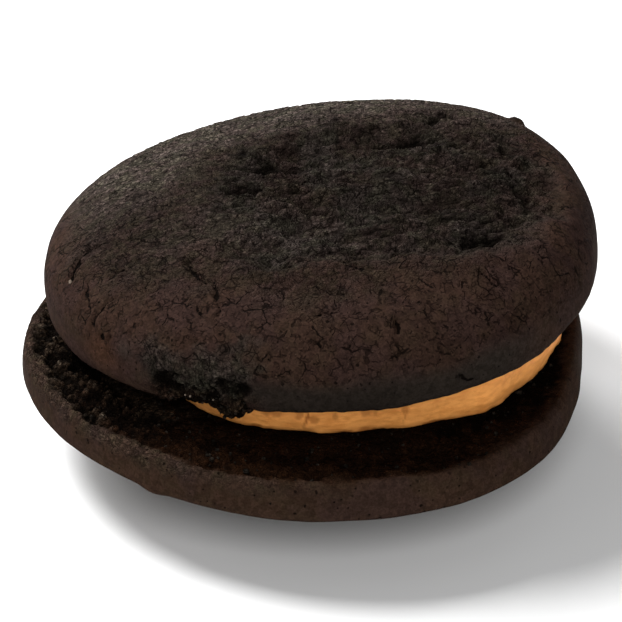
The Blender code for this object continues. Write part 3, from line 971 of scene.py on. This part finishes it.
def make_filling(settings):
    """A wedge between the two crumb sides.

    Its outline is a lobed circle squashed at the back. Its side bulges as the root of a sine of the
    height, and noise drawn out along the side smears it. The noise is read on a plain cylinder.
    """
    rows, angles, quads, triangles = polar_grid(FILLING_ROWS, FILLING_ANGLES)
    angle = TURN * angles / FILLING_ANGLES
    side_rows = FILLING_ROWS - 2 * FILLING_FLAT_ROWS - 1
    side = ((rows - FILLING_FLAT_ROWS) / side_rows).clip(0.0, 1.0)
    reach = (np.minimum(rows, FILLING_ROWS - 1 - rows) / FILLING_FLAT_ROWS).clip(0.0, 1.0)
    radius = settings.radius / MM
    unit_radius = roundness(angle, FILLING_LOBES, radius) * reach
    squash = np.where(np.sin(angle) > 0.0, FILLING_BACK_SQUASH, 1.0)
    x = FILLING_CENTRE[0] + radius * unit_radius * np.cos(angle)
    y = FILLING_CENTRE[1] + radius * unit_radius * np.sin(angle) * squash
    bottom = LOWER_HEIGHT - FILLING_OVERLAP
    top = upper_crumb_height(x, y) + FILLING_OVERLAP
    height = bottom + (1.0 - side) * (top - bottom)
    points = np.column_stack((x, y, height))

    ring = FILLING_NOISE_RADIUS * np.column_stack((np.cos(angle), np.sin(angle)))
    round_place = np.column_stack((ring, height))
    smears = layered_noise(round_place * (0.3, 0.3, 1.0), 1.2, 211, 3, 0.6)
    swells = layered_noise(round_place * (0.6, 0.6, 0.8), 4.0, 215, 3)
    foot_edge = noise(round_place, 2.6, 221) + 0.5 * noise(round_place, 1.1, 223)
    heading = np.degrees(angle)
    held_back = smooth_step(*HELD_BACK_FRONT, heading) * smooth_step(*HELD_BACK_BACK, heading)
    stain, crack = filling_marks(round_place, angle, side, radius)
    outward = FILLING_BULGE * np.sqrt(np.sin(math.pi * side).clip(0.0)) + 0.1 * smears + 0.3 * swells
    outward += 0.22 * smooth_step(0.72, 1.0, side) * foot_edge - crack - 0.15 * stain
    outward += 1.2 * spot((turn_from(angle, 305.5), 7.0)) - 0.7 * spot((turn_from(angle, 350.0), 28.0))
    outward = (outward - HELD_BACK_DEPTH * held_back) * smooth_step(0.9, 1.0, reach)
    points[:, 0] += outward * np.cos(angle)
    points[:, 1] += outward * np.sin(angle)
    # Real stains, and painted shade in the cracks and towards the foot of the side.
    dark = 0.66 * stain + 2.8 * crack + 0.35 * smooth_step(0.85, 1.0, side)
    material = filling_material("filling", settings.colour)
    masks = {"dark": dark.clip(0.0, 1.0)}
    make_piece("filling_cream", points, quads, triangles, masks, material, "filling")


# ---------------------------------------------------------------- crumbs


def scatter_crumbs(name, places, normals, sizes, seed, attributes, material):
    """Small irregular lumps as one mesh.

    Each is a coarse sphere, its points moved in and out at random and its three axes stretched and
    turned at random, sunk a little into the surface it lies on.
    """
    rng = np.random.default_rng(seed)
    rows, angles, quads, triangles = polar_grid(CRUMB_STEPS, CRUMB_STEPS)
    tilt = math.pi * rows / (CRUMB_STEPS - 1)
    turn = TURN * angles / CRUMB_STEPS
    ball = np.column_stack((np.sin(tilt) * np.cos(turn), np.sin(tilt) * np.sin(turn), np.cos(tilt)))
    count = len(places)
    lump = ball[None] * (1.0 + rng.uniform(-0.28, 0.28, (count, len(ball), 1)))
    lump *= rng.uniform(0.65, 1.2, (count, 1, 3)) * sizes[:, None, None]
    spins, _ = np.linalg.qr(rng.normal(size=(count, 3, 3)))
    spins[np.linalg.det(spins) < 0.0, :, 0] *= -1.0
    lump = lump @ np.transpose(spins, (0, 2, 1))
    points = (lump + (places + 0.35 * sizes[:, None] * normals)[:, None]).reshape(-1, 3)
    shift = (len(ball) * np.arange(count))[:, None, None]
    all_quads = (quads[None] + shift).reshape(-1, 4)
    all_triangles = (triangles[None] + shift).reshape(-1, 3)
    masks = {key: np.full(len(points), value) for key, value in attributes.items()}
    make_piece(name, points, all_quads, all_triangles, masks, material)


def surface_samples(mesh, weights, count, seed):
    """Places and normals, in millimetres, at vertices drawn at random in proportion to the weights.

    The third result is the random generator, for what else is drawn for these places.
    """
    rng = np.random.default_rng(seed)
    chosen = rng.choice(len(mesh.vertices), count, p=weights / weights.sum())
    return read_vectors(mesh, "co")[chosen] / MM, read_vectors(mesh, "normal")[chosen], rng


def make_crumbs(settings):
    """Loose crumbs on the lower cake's open crumb and its lip, and on the upper cake's torn edge.

    Most are small: a size is its least value plus a range times a high power of a random number.
    """
    lower = bpy.data.objects["lower_cake_crust"].data
    points = read_vectors(lower, "co") / MM
    crumb = read_mask(lower, "crumb")
    shown = smooth_step(28.0, 32.0, np.hypot(points[:, 0], points[:, 1]))
    weight = crumb * shown + 0.02 * (1.0 - crumb) * (points[:, 2] > 14.0)
    places, normals, rng = surface_samples(lower, weight, settings.count, 501)
    sizes = 0.1 + 0.38 * rng.random(settings.count) ** 5.0

    upper = bpy.data.objects["upper_cake_crust"].data
    torn = read_mask(upper, "crumb") * (read_vectors(upper, "normal")[:, 2] > -0.7)
    torn_count = settings.count // 8
    torn_places, torn_normals, rng = surface_samples(upper, torn, torn_count, 503)
    torn_sizes = 0.12 + 0.2 * rng.random(torn_count) ** 2.0

    masks = dict.fromkeys(CAKE_MASKS, 0.0)
    # Every loose crumb gets a little painted shade.
    masks.update(crumb=0.85, tone=0.3, ragged=0.3, dark=0.1, crack_gap=NO_CRACK)
    scatter_crumbs(
        "loose_crumbs",
        np.concatenate((places, torn_places)),
        np.concatenate((normals, torn_normals)),
        np.concatenate((sizes, torn_sizes)),
        505,
        masks,
        cake_material("loose_crumb", settings.colour, settings.colour),
    )


def make_pale_specks(colour):
    """Pale specks, each at the vertex of the upper cake nearest to its place."""
    upper = bpy.data.objects["upper_cake_crust"].data
    points = read_vectors(upper, "co") / MM
    specks = np.array(PALE_SPECKS)
    wanted = upper_to_pie(specks[:, :3])
    chosen = np.array([np.linalg.norm(points - place, axis=1).argmin() for place in wanted])
    normals = read_vectors(upper, "normal")[chosen]
    material = speck_material("pale_specks", colour)
    scatter_crumbs("pale_specks", points[chosen], normals, specks[:, 3], 507, {}, material)


# ---------------------------------------------------------------- shader nodes


class Signal:
    """What one output of a shader node gives. Arithmetic on it adds Math nodes."""

    def __init__(self, socket):
        self.socket = socket
        self.tree = socket.id_data

    def __add__(self, other):
        return calculate("ADD", self, other)

    def __sub__(self, other):
        return calculate("SUBTRACT", self, other)

    def __rsub__(self, other):
        return calculate("SUBTRACT", other, self)

    def __mul__(self, other):
        return calculate("MULTIPLY", self, other)

    def __truediv__(self, other):
        return calculate("DIVIDE", self, other)

    __radd__ = __add__
    __rmul__ = __mul__


def feed(socket, value):
    """Join an input to a signal, or set it to a plain value."""
    if isinstance(value, Signal):
        socket.id_data.links.new(value.socket, socket)
    else:
        socket.default_value = value


def add_node(kind, inputs, output=0, tree=None, **choices):
    """Add a shader node to the given tree, or to that of its inputs, and return one of its outputs.

    The choices are the node's own settings, and each input takes a signal or a plain value.
    """
    tree = tree or next(value.tree for value in inputs.values() if isinstance(value, Signal))
    node = tree.nodes.new("ShaderNode" + kind)
    for name, choice in choices.items():
        setattr(node, name, choice)
    for key, value in inputs.items():
        feed(node.inputs[key], value)
    return Signal(node.outputs[output])


def calculate(operation, *values):
    """A Math node's result."""
    return add_node("Math", dict(enumerate(values)), operation=operation)


def largest(first, *others):
    """The largest of several signals and numbers."""
    for other in others:
        first = calculate("MAXIMUM", first, other)
    return first


def rise(value, low, high, start=0.0, end=1.0):
    """Smooth rise from start to end as the value goes from low to high."""
    inputs = dict(enumerate((value, low, high, start, end)))
    return add_node("MapRange", inputs, "Result", interpolation_type="SMOOTHSTEP")


def blend(share, first, second, way="MIX"):
    """The first colour where the share is 0, and where it is 1 the second, or what the way makes of both."""
    inputs = {"Factor": share, "A": first, "B": second}
    return add_node("Mix", inputs, "Result", data_type="RGBA", blend_type=way)


def grey_level(value):
    """A grey colour from one number."""
    return add_node("CombineColor", {0: value, 1: value, 2: value})


def mask(tree, name):
    """The vertex attribute of this name."""
    return add_node("Attribute", {}, "Fac", tree, attribute_name=name)


def stretched(place, factors):
    """The place with each axis multiplied by its factor."""
    return add_node("Mapping", {"Vector": place, "Scale": factors})


def millimetre_place(tree):
    """Object coordinates in millimetres."""
    return stretched(add_node("TexCoord", {}, "Object", tree), (1.0 / MM,) * 3)


def grain(place, size, detail=3.0, output="Fac"):
    """Noise from 0 to 1 with features of this size in millimetres."""
    inputs = {"Vector": place, "Scale": 1.0 / size, "Detail": detail, "Roughness": 0.6}
    return add_node("TexNoise", inputs, output)


def bent_place(place, size, amount):
    """The place moved about by noise of this size, by up to half the amount each way."""
    colour = grain(place, size, 2.0, "Color")
    centred = add_node("VectorMath", {0: colour, 1: (0.5, 0.5, 0.5)}, operation="SUBTRACT")
    return add_node("VectorMath", {0: centred, 1: (amount,) * 3, 2: place}, operation="MULTIPLY_ADD")


def cell_texture(place, size, feature, output="Distance"):
    """A Voronoi texture with cells of this size in millimetres."""
    return add_node("TexVoronoi", {"Vector": place, "Scale": 1.0 / size}, output, feature=feature)


def crust_cells(place, size):
    """Distance to the border, and a number from 0 to 1, of each of the bent cells of this size."""
    bent = bent_place(place, 0.5 * size, 0.35 * size)
    return cell_texture(bent, size, "DISTANCE_TO_EDGE"), cell_texture(bent, size, "F1", "Color")


def hairline_cracks(place, edge, size, width, kept, more):
    """1 along the borders of cells, broken off where noise is below kept, and 0 elsewhere.

    More of them show where the mask in more is high.
    """
    half = rise(grain(place, 1.7 * size, 1.0), 0.35, 0.65, 0.3 * width / size, 0.7 * width / size)
    strength = grain(place, 1.05 * size, 1.0) + 0.03 * more
    return rise(edge / half, 0.6, 1.3, 1.0, 0.0) * rise(strength, kept, kept + 0.06)


def pinholes(place, size, radius, kept):
    """1 in round holes, one in each cell whose number is above kept, and 0 outside them."""
    gap = cell_texture(place, size, "F1")
    tag = cell_texture(place, size, "F1", "Color")
    hole = rise(gap, 0.6 * radius / size, 1.2 * radius / size, 1.0, 0.0)
    return hole * calculate("GREATER_THAN", tag, kept)


# ---------------------------------------------------------------- materials


def rgb(colour):
    """A colour property as four numbers."""
    return tuple(colour)[:3] + (1.0,)


def tinted(colour, factor):
    """A colour made lighter or darker by one factor, or by one for each of its parts."""
    factors = factor if isinstance(factor, tuple) else (factor,) * 3
    return tuple(part * each for part, each in zip(colour, factors)) + (1.0,)


def new_material(name):
    """A new material, its node tree and its Principled shader."""
    material = bpy.data.materials.new(name)
    material.use_nodes = True
    tree = material.node_tree
    tree.nodes.clear()
    shader = tree.nodes.new("ShaderNodeBsdfPrincipled")
    output = tree.nodes.new("ShaderNodeOutputMaterial")
    tree.links.new(shader.outputs["BSDF"], output.inputs["Surface"])
    return material, tree, shader


def finish(shader, colour, roughness, specular, height, strength):
    """Give a shader its colour, roughness and specular level, and bump from a height in millimetres."""
    feed(shader.inputs["Base Color"], colour)
    feed(shader.inputs["Roughness"], roughness)
    shader.inputs["Specular IOR Level"].default_value = specular
    bump = {"Strength": strength, "Distance": MM, "Height": height}
    feed(shader.inputs["Normal"], add_node("Bump", bump))


def crust_marks(place, edges, crumb, gritty, smooth_crust, crack_gap):
    """1 in the cracks of the crust, in its pinholes and in its larger pits, and 0 elsewhere."""
    nets = [
        hairline_cracks(place, edge, size, width, kept, gritty) * (more * gritty + strength)
        for edge, (size, width, kept, strength, more) in zip(edges, CRACK_NETS)
    ]
    lines = 0.88 * smooth_crust * largest(*nets)
    ragged_gap = crack_gap + 0.5 * grain(place, 0.6, 2.0)
    holes = 0.9 * pinholes(place, 1.2, 0.16, 0.55)
    pits = pinholes(bent_place(place, 0.5, 0.5), 1.5, 0.28, 0.4)
    pits = pits * rise(grain(place, 6.0, 1.0), 0.47, 0.56, 0.0, 0.85)
    return largest(lines, rise(ragged_gap, 0.2, 0.34, 1.0, 0.0), largest(holes, pits) * (1.0 - crumb))


def flaky_creases(place, share):
    """1 in short creases that lie crosswise, gathered in patches, times the share."""
    crosswise = stretched(bent_place(place, 1.6, 0.7), (0.5, 1.0, 1.0))
    from_middle = calculate("ABSOLUTE", grain(crosswise, 0.75, 2.0) - 0.5)
    creases = rise(from_middle, 0.012, 0.05, 1.0, 0.0) * rise(grain(crosswise, 1.1, 1.0), 0.47, 0.56)
    return share * creases * rise(grain(place, 5.0, 1.0), 0.42, 0.56, 0.35, 1.0)


def cake_material(name, crust_colour, crumb_colour):
    """Baked cocoa crust that turns to open crumb where the crumb mask says so."""
    material, tree, shader = new_material(name)
    place = millimetre_place(tree)
    crumb, tone, gritty, ragged, band, dark, pale, crack_gap = (mask(tree, key) for key in CAKE_MASKS)
    crust = rgb(crust_colour)
    crumbly = rgb(crumb_colour)
    open_grain = largest(gritty, crumb)
    smooth_crust = 1.0 - largest(crumb, band)
    edges, (wide_tag, middle_tag, small_tag) = zip(*(crust_cells(place, net[0]) for net in CRACK_NETS))
    grit_edge, grit_tag = crust_cells(place, GRIT_SIZE)
    marks = crust_marks(place, edges, crumb, gritty, smooth_crust, crack_gap)
    creases = flaky_creases(place, largest(gritty, ragged))
    grain_gaps = rise(grit_edge, 0.02, 0.13, 1.0, 0.0) * (0.5 * crumb + 0.12 * gritty)

    # Colour: clouds of the crust, then open crumb, tones, and the painted highlight over it.
    cloud = grain(place, 11.0, 3.0)
    hue = grain(place, 3.0, 2.0)
    speckle = grain(place, 0.35, 2.0)
    surface = blend(rise(cloud, 0.35, 0.65), tinted(crust, 0.9), tinted(crust, 1.1))
    surface = blend(rise(hue, 0.42, 0.62, 0.0, 0.8), surface, tinted(crust, GREENISH))
    surface = blend(rise(grain(place, 8.0, 2.0), 0.46, 0.62, 0.0, 0.8), surface, tinted(crust, PLUM))
    clods = rise(grain(place, 2.0, 4.0), 0.42, 0.6)
    surface = blend(crumb, surface, blend(clods, tinted(crumbly, 0.35), tinted(crumbly, 1.25)))
    grey = blend(crumb, tinted(crust, GREY_CRUST), tinted(crumbly, GREY_CRUMB))
    surface = blend(largest(tone, 0.0), surface, grey)
    rusty = blend(crumb, tinted(crust, RUSTY_CRUST), tinted(crumbly, RUSTY_CRUMB))
    surface = blend(largest(-0.7 * tone, 0.0), surface, rusty)
    # Painted highlight, in a grey, where the pale mask is high.
    surface = blend(pale, surface, tinted(crust, HIGHLIGHT_GREY))
    mossy = blend(rise(hue, 0.42, 0.6), (1.03, 0.99, 1.04, 1.0), (0.96, 1.03, 0.95, 1.0))
    surface = blend(gritty, surface, blend(1.0, surface, mossy, "MULTIPLY"))

    # Flecks and specks, painted glints on a few grains, and the painted shade of every gap, crack, crease
    # and hollow.
    flecks = rise(speckle, 0.34, 0.68, 0.8, 1.22) * rise(small_tag, 0.25, 0.75, 0.84, 1.18)
    coarse_flecks = rise(grit_tag, 0.25, 0.75, 0.9, 1.28) * rise(middle_tag, 0.25, 0.75, 0.94, 1.14)
    coarse_flecks = coarse_flecks * rise(speckle, 0.34, 0.66, 0.84, 1.18)
    coarse_flecks = calculate("POWER", coarse_flecks, 1.8 * ragged + 1.0)
    # Painted glints: a few single grains made brighter, most where the painted highlight is.
    coarse_flecks = coarse_flecks * (1.0 + rise(grit_tag, 0.66, 0.72) * (0.75 * pale + 0.18))
    flecks = flecks + open_grain * (coarse_flecks - flecks)
    surface = blend(1.0, surface, grey_level(flecks), "MULTIPLY")
    specks = 0.7 * smooth_crust * pinholes(place, 1.1, 0.12, 0.5)
    surface = blend(specks, surface, tinted(crust, SPECKLED))
    shade = largest(grain_gaps, 0.95 * marks, 0.95 * dark, 0.72 * creases)
    surface = blend(shade, surface, GAP_SHADE_COLOUR)

    # Height in millimetres: plates of the smooth crust, then grains of the rest.
    plates = 0.12 * speckle + 0.12 * grain(place, 1.1, 2.0)
    plates = plates + smooth_crust * (0.07 * middle_tag + 0.06 * wide_tag)
    grains = 0.16 * rise(grit_edge, 0.0, 0.3) + 0.2 * grit_tag
    grains = grains + 0.22 * rise(edges[1], 0.0, 0.25) + 0.25 * middle_tag
    height = plates * (1.0 - 0.7 * band) + 1.3 * open_grain * grains - 0.15 * largest(marks, creases)
    roughness = rise(cloud, 0.35, 0.65, 0.76, 0.86) + 0.1 * open_grain
    finish(shader, surface, roughness, 0.01, height, 1.0)
    return material


def filling_material(name, colour):
    """Smeared soft filling: streaks along its side, brown stains, painted shade in its cracks and along its
    foot, and grains of cocoa.
    """
    material, tree, shader = new_material(name)
    place = millimetre_place(tree)
    base = rgb(colour)
    streaks = grain(stretched(place, (0.4, 0.4, 1.0)), 0.8, 4.0)
    lighter = tuple(min(1.0, part) for part in tinted(base, 1.12))
    surface = blend(rise(streaks, 0.3, 0.7), tinted(base, (0.83, 0.73, 0.6)), lighter)
    surface = blend(rise(grain(place, 5.0, 3.0), 0.3, 0.7, 0.0, 0.6), surface, base)
    # Stains, and painted shade in the cracks and along the foot.
    surface = blend(0.8 * mask(tree, "dark"), surface, STAIN_AND_SHADE_COLOUR)
    surface = blend(0.8 * pinholes(place, 1.7, 0.13, 0.8), surface, COCOA_COLOUR)
    height = 0.16 * streaks + 0.07 * grain(place, 0.5, 3.0)
    finish(shader, surface, rise(streaks, 0.3, 0.7, 0.5, 0.68), 0.15, height, 0.8)
    return material


def speck_material(name, colour):
    """Pale dry crumb with darker pores."""
    material, tree, shader = new_material(name)
    grains = grain(millimetre_place(tree), 0.15, 2.0)
    surface = blend(rise(grains, 0.35, 0.6), tinted(rgb(colour), 0.45), tinted(rgb(colour), 1.1))
    finish(shader, surface, rise(grains, 0.3, 0.7, 0.75, 0.9), 0.1, 0.1 * grains, 0.8)
    return material


def floor_material(name, colour):
    """Pale matt floor with the faintest cloudiness."""
    material, tree, shader = new_material(name)
    cloud = rise(grain(millimetre_place(tree), 60.0, 2.0), 0.2, 0.8, 0.985, 1.0)
    feed(shader.inputs["Base Color"], blend(1.0, rgb(colour), grey_level(cloud), "MULTIPLY"))
    shader.inputs["Roughness"].default_value = 0.9
    shader.inputs["Specular IOR Level"].default_value = 0.1
    return material


# ---------------------------------------------------------------- stage


def make_stage(settings):
    """Floor, studio light and camera."""
    half = FLOOR_SIZE / 2.0
    corners = [(-half, -half, 0.0), (half, -half, 0.0), (half, half, 0.0), (-half, half, 0.0)]
    mesh = bpy.data.meshes.new("floor")
    mesh.from_pydata(corners, [], [(0, 1, 2, 3)])
    mesh.materials.append(floor_material("floor", settings.floor_colour))
    floor = bpy.data.objects.new("floor", mesh)
    floor.location.z = -FLOOR_GAP
    bpy.context.scene.collection.objects.link(floor)

    world = bpy.data.worlds.new("studio")
    world.use_nodes = True
    background = world.node_tree.nodes["Background"]
    background.inputs["Color"].default_value = (1.0, 1.0, 1.0, 1.0)
    background.inputs["Strength"].default_value = settings.surround
    bpy.context.scene.world = world

    centre = (CAD_BOX[0] + CAD_BOX[1]) / 2.0
    for name, offset, size, power in (
        ("key_light", (-0.5, 0.3, 0.85), 0.45, settings.key_power),
        ("back_light", (-0.45, 0.95, 0.5), 0.5, settings.back_power),
        ("front_light", (0.1, -0.9, 0.7), 0.8, settings.front_power),
    ):
        light = bpy.data.lights.new(name, "AREA")
        light.shape = "DISK"
        light.size = size
        light.energy = power
        lamp = bpy.data.objects.new(name, light)
        lamp.location = centre + Vector(offset)
        lamp.rotation_euler = (centre - lamp.location).to_track_quat("-Z", "Y").to_euler()
        bpy.context.scene.collection.objects.link(lamp)

    camera = bpy.data.cameras.new("camera")
    camera.lens = settings.lens
    camera.sensor_width = 36.0
    eye = bpy.data.objects.new("camera", camera)
    elevation = settings.elevation
    away = Vector((0.0, -math.cos(elevation), math.sin(elevation)))
    target = centre + Vector(settings.target_offset)
    eye.location = target + settings.distance * away
    eye.rotation_euler = (-away).to_track_quat("-Z", "Y").to_euler()
    bpy.context.scene.collection.objects.link(eye)
    bpy.context.scene.camera = eye
    bpy.context.scene.view_settings.view_transform = "Standard"
    bpy.context.scene.view_settings.look = "None"


# ---------------------------------------------------------------- settings


def length_property(name, description, default):
    return FloatProperty(name=name, description=description, default=default, unit="LENGTH")


def colour_property(name, description, default):
    return FloatVectorProperty(name=name, description=description, default=default, subtype="COLOR")


def power_property(name, description, default):
    return FloatProperty(name=name, description=description, default=default, unit="POWER")


class WhoopieUpperCakeSettings(bpy.types.PropertyGroup):
    sunk_depth: length_property("Sunk depth", "How far the middle of the top has sunk", 1.2 * MM)
    wrinkle_depth: length_property("Wrinkle depth", "Height of the wrinkles in the sunken top", 1.25 * MM)
    crust_colour: colour_property("Crust colour", "Colour of the baked crust", (0.0262, 0.0142, 0.0101))
    crumb_colour: colour_property("Crumb colour", "Colour of the torn edge", (0.022, 0.0133, 0.0086))


class WhoopieLowerCakeSettings(bpy.types.PropertyGroup):
    crumb_relief: length_property("Crumb relief", "Height of the open crumb's lumps", 1.0 * MM)
    crust_colour: colour_property("Crust colour", "Colour of the lip", (0.0262, 0.0145, 0.0096))
    crumb_colour: colour_property("Crumb colour", "Colour of the open crumb", (0.0168, 0.0078, 0.0042))


class WhoopieFillingSettings(bpy.types.PropertyGroup):
    radius: length_property("Radius", "Radius of the filling at its front", FILLING_REACH * MM)
    colour: colour_property("Colour", "Colour of the filling", (0.93, 0.385, 0.1))


class WhoopieCrumbSettings(bpy.types.PropertyGroup):
    count: IntProperty(name="Count", description="Number of crumbs on the lower cake", default=700, min=8)
    colour: colour_property("Colour", "Colour of the loose crumbs", (0.016, 0.0105, 0.0074))
    speck_colour: colour_property("Speck colour", "Colour of the pale specks", (0.17, 0.13, 0.1))


class WhoopieStageSettings(bpy.types.PropertyGroup):
    floor_colour: colour_property("Floor colour", "Colour of the floor", (0.86, 0.86, 0.86))
    surround: FloatProperty(name="Surround", description="Strength of the even light", default=0.22)
    key_power: power_property("Key light", "Power of the light from above", 14.5)
    back_power: power_property("Back light", "Power of the back light", 12.0)
    front_power: power_property("Front light", "Power of the front light", 7.0)
    lens: FloatProperty(name="Lens", description="Focal length in millimetres", default=178.8)
    distance: length_property("Distance", "Camera to target", 0.5)
    elevation: FloatProperty(
        name="Elevation",
        description="Angle that the camera looks down",
        default=math.radians(30.7),
        subtype="ANGLE",
    )
    target_offset: FloatVectorProperty(
        name="Target",
        description="Where the camera looks, from the middle of the box",
        default=(0.0003, -0.0053, 0.00175),
        subtype="TRANSLATION",
    )


# ---------------------------------------------------------------- operators and panel


class WHOOPIE_OT_upper_cake(bpy.types.Operator):
    """Build the upper cake: cracked crust, sunken rough top and torn edge"""

    bl_idname = "whoopie.upper_cake"
    bl_label = "Upper Cake"

    def execute(self, context):
        make_upper_cake(context.scene.whoopie_upper_cake)
        return {"FINISHED"}


class WHOOPIE_OT_lower_cake(bpy.types.Operator):
    """Build the lower cake: open crumb inside a smooth crust lip"""

    bl_idname = "whoopie.lower_cake"
    bl_label = "Lower Cake"

    def execute(self, context):
        make_lower_cake(context.scene.whoopie_lower_cake)
        return {"FINISHED"}


class WHOOPIE_OT_filling(bpy.types.Operator):
    """Build the filling: a smeared wedge between the cakes"""

    bl_idname = "whoopie.filling"
    bl_label = "Filling"

    def execute(self, context):
        make_filling(context.scene.whoopie_filling)
        return {"FINISHED"}


class WHOOPIE_OT_crumbs(bpy.types.Operator):
    """Scatter the loose crumbs and the pale specks over both cakes"""

    bl_idname = "whoopie.crumbs"
    bl_label = "Loose Crumbs"

    def execute(self, context):
        make_crumbs(context.scene.whoopie_crumbs)
        make_pale_specks(context.scene.whoopie_crumbs.speck_colour)
        return {"FINISHED"}


class WHOOPIE_OT_stage(bpy.types.Operator):
    """Add the floor, the lights and the camera"""

    bl_idname = "whoopie.stage"
    bl_label = "Stage"

    def execute(self, context):
        make_stage(context.scene.whoopie_stage)
        return {"FINISHED"}


PIECES = (
    ("whoopie_upper_cake", WhoopieUpperCakeSettings, WHOOPIE_OT_upper_cake),
    ("whoopie_lower_cake", WhoopieLowerCakeSettings, WHOOPIE_OT_lower_cake),
    ("whoopie_filling", WhoopieFillingSettings, WHOOPIE_OT_filling),
    ("whoopie_crumbs", WhoopieCrumbSettings, WHOOPIE_OT_crumbs),
    ("whoopie_stage", WhoopieStageSettings, WHOOPIE_OT_stage),
)


class WHOOPIE_PT_panel(bpy.types.Panel):
    """Sizes, colours and pieces of the whoopie pie"""

    bl_label = "Whoopie Pie"
    bl_idname = "WHOOPIE_PT_panel"
    bl_space_type = "VIEW_3D"
    bl_region_type = "UI"
    bl_category = "Whoopie Pie"

    def draw(self, context):
        for group, _, operator in PIECES:
            box = self.layout.box()
            settings = getattr(context.scene, group)
            for name in settings.__annotations__:
                box.prop(settings, name)
            box.operator(operator.bl_idname)


def register():
    for group, settings, operator in PIECES:
        bpy.utils.register_class(settings)
        setattr(bpy.types.Scene, group, PointerProperty(type=settings))
        bpy.utils.register_class(operator)
    bpy.utils.register_class(WHOOPIE_PT_panel)


def unregister():
    bpy.utils.unregister_class(WHOOPIE_PT_panel)
    for group, settings, operator in reversed(PIECES):
        bpy.utils.unregister_class(operator)
        delattr(bpy.types.Scene, group)
        bpy.utils.unregister_class(settings)


def main():
    """Build every piece in order."""
    register()
    bpy.ops.whoopie.upper_cake()
    bpy.ops.whoopie.lower_cake()
    bpy.ops.whoopie.filling()
    bpy.ops.whoopie.crumbs()
    bpy.ops.whoopie.stage()


if __name__ == "__main__":
    main()
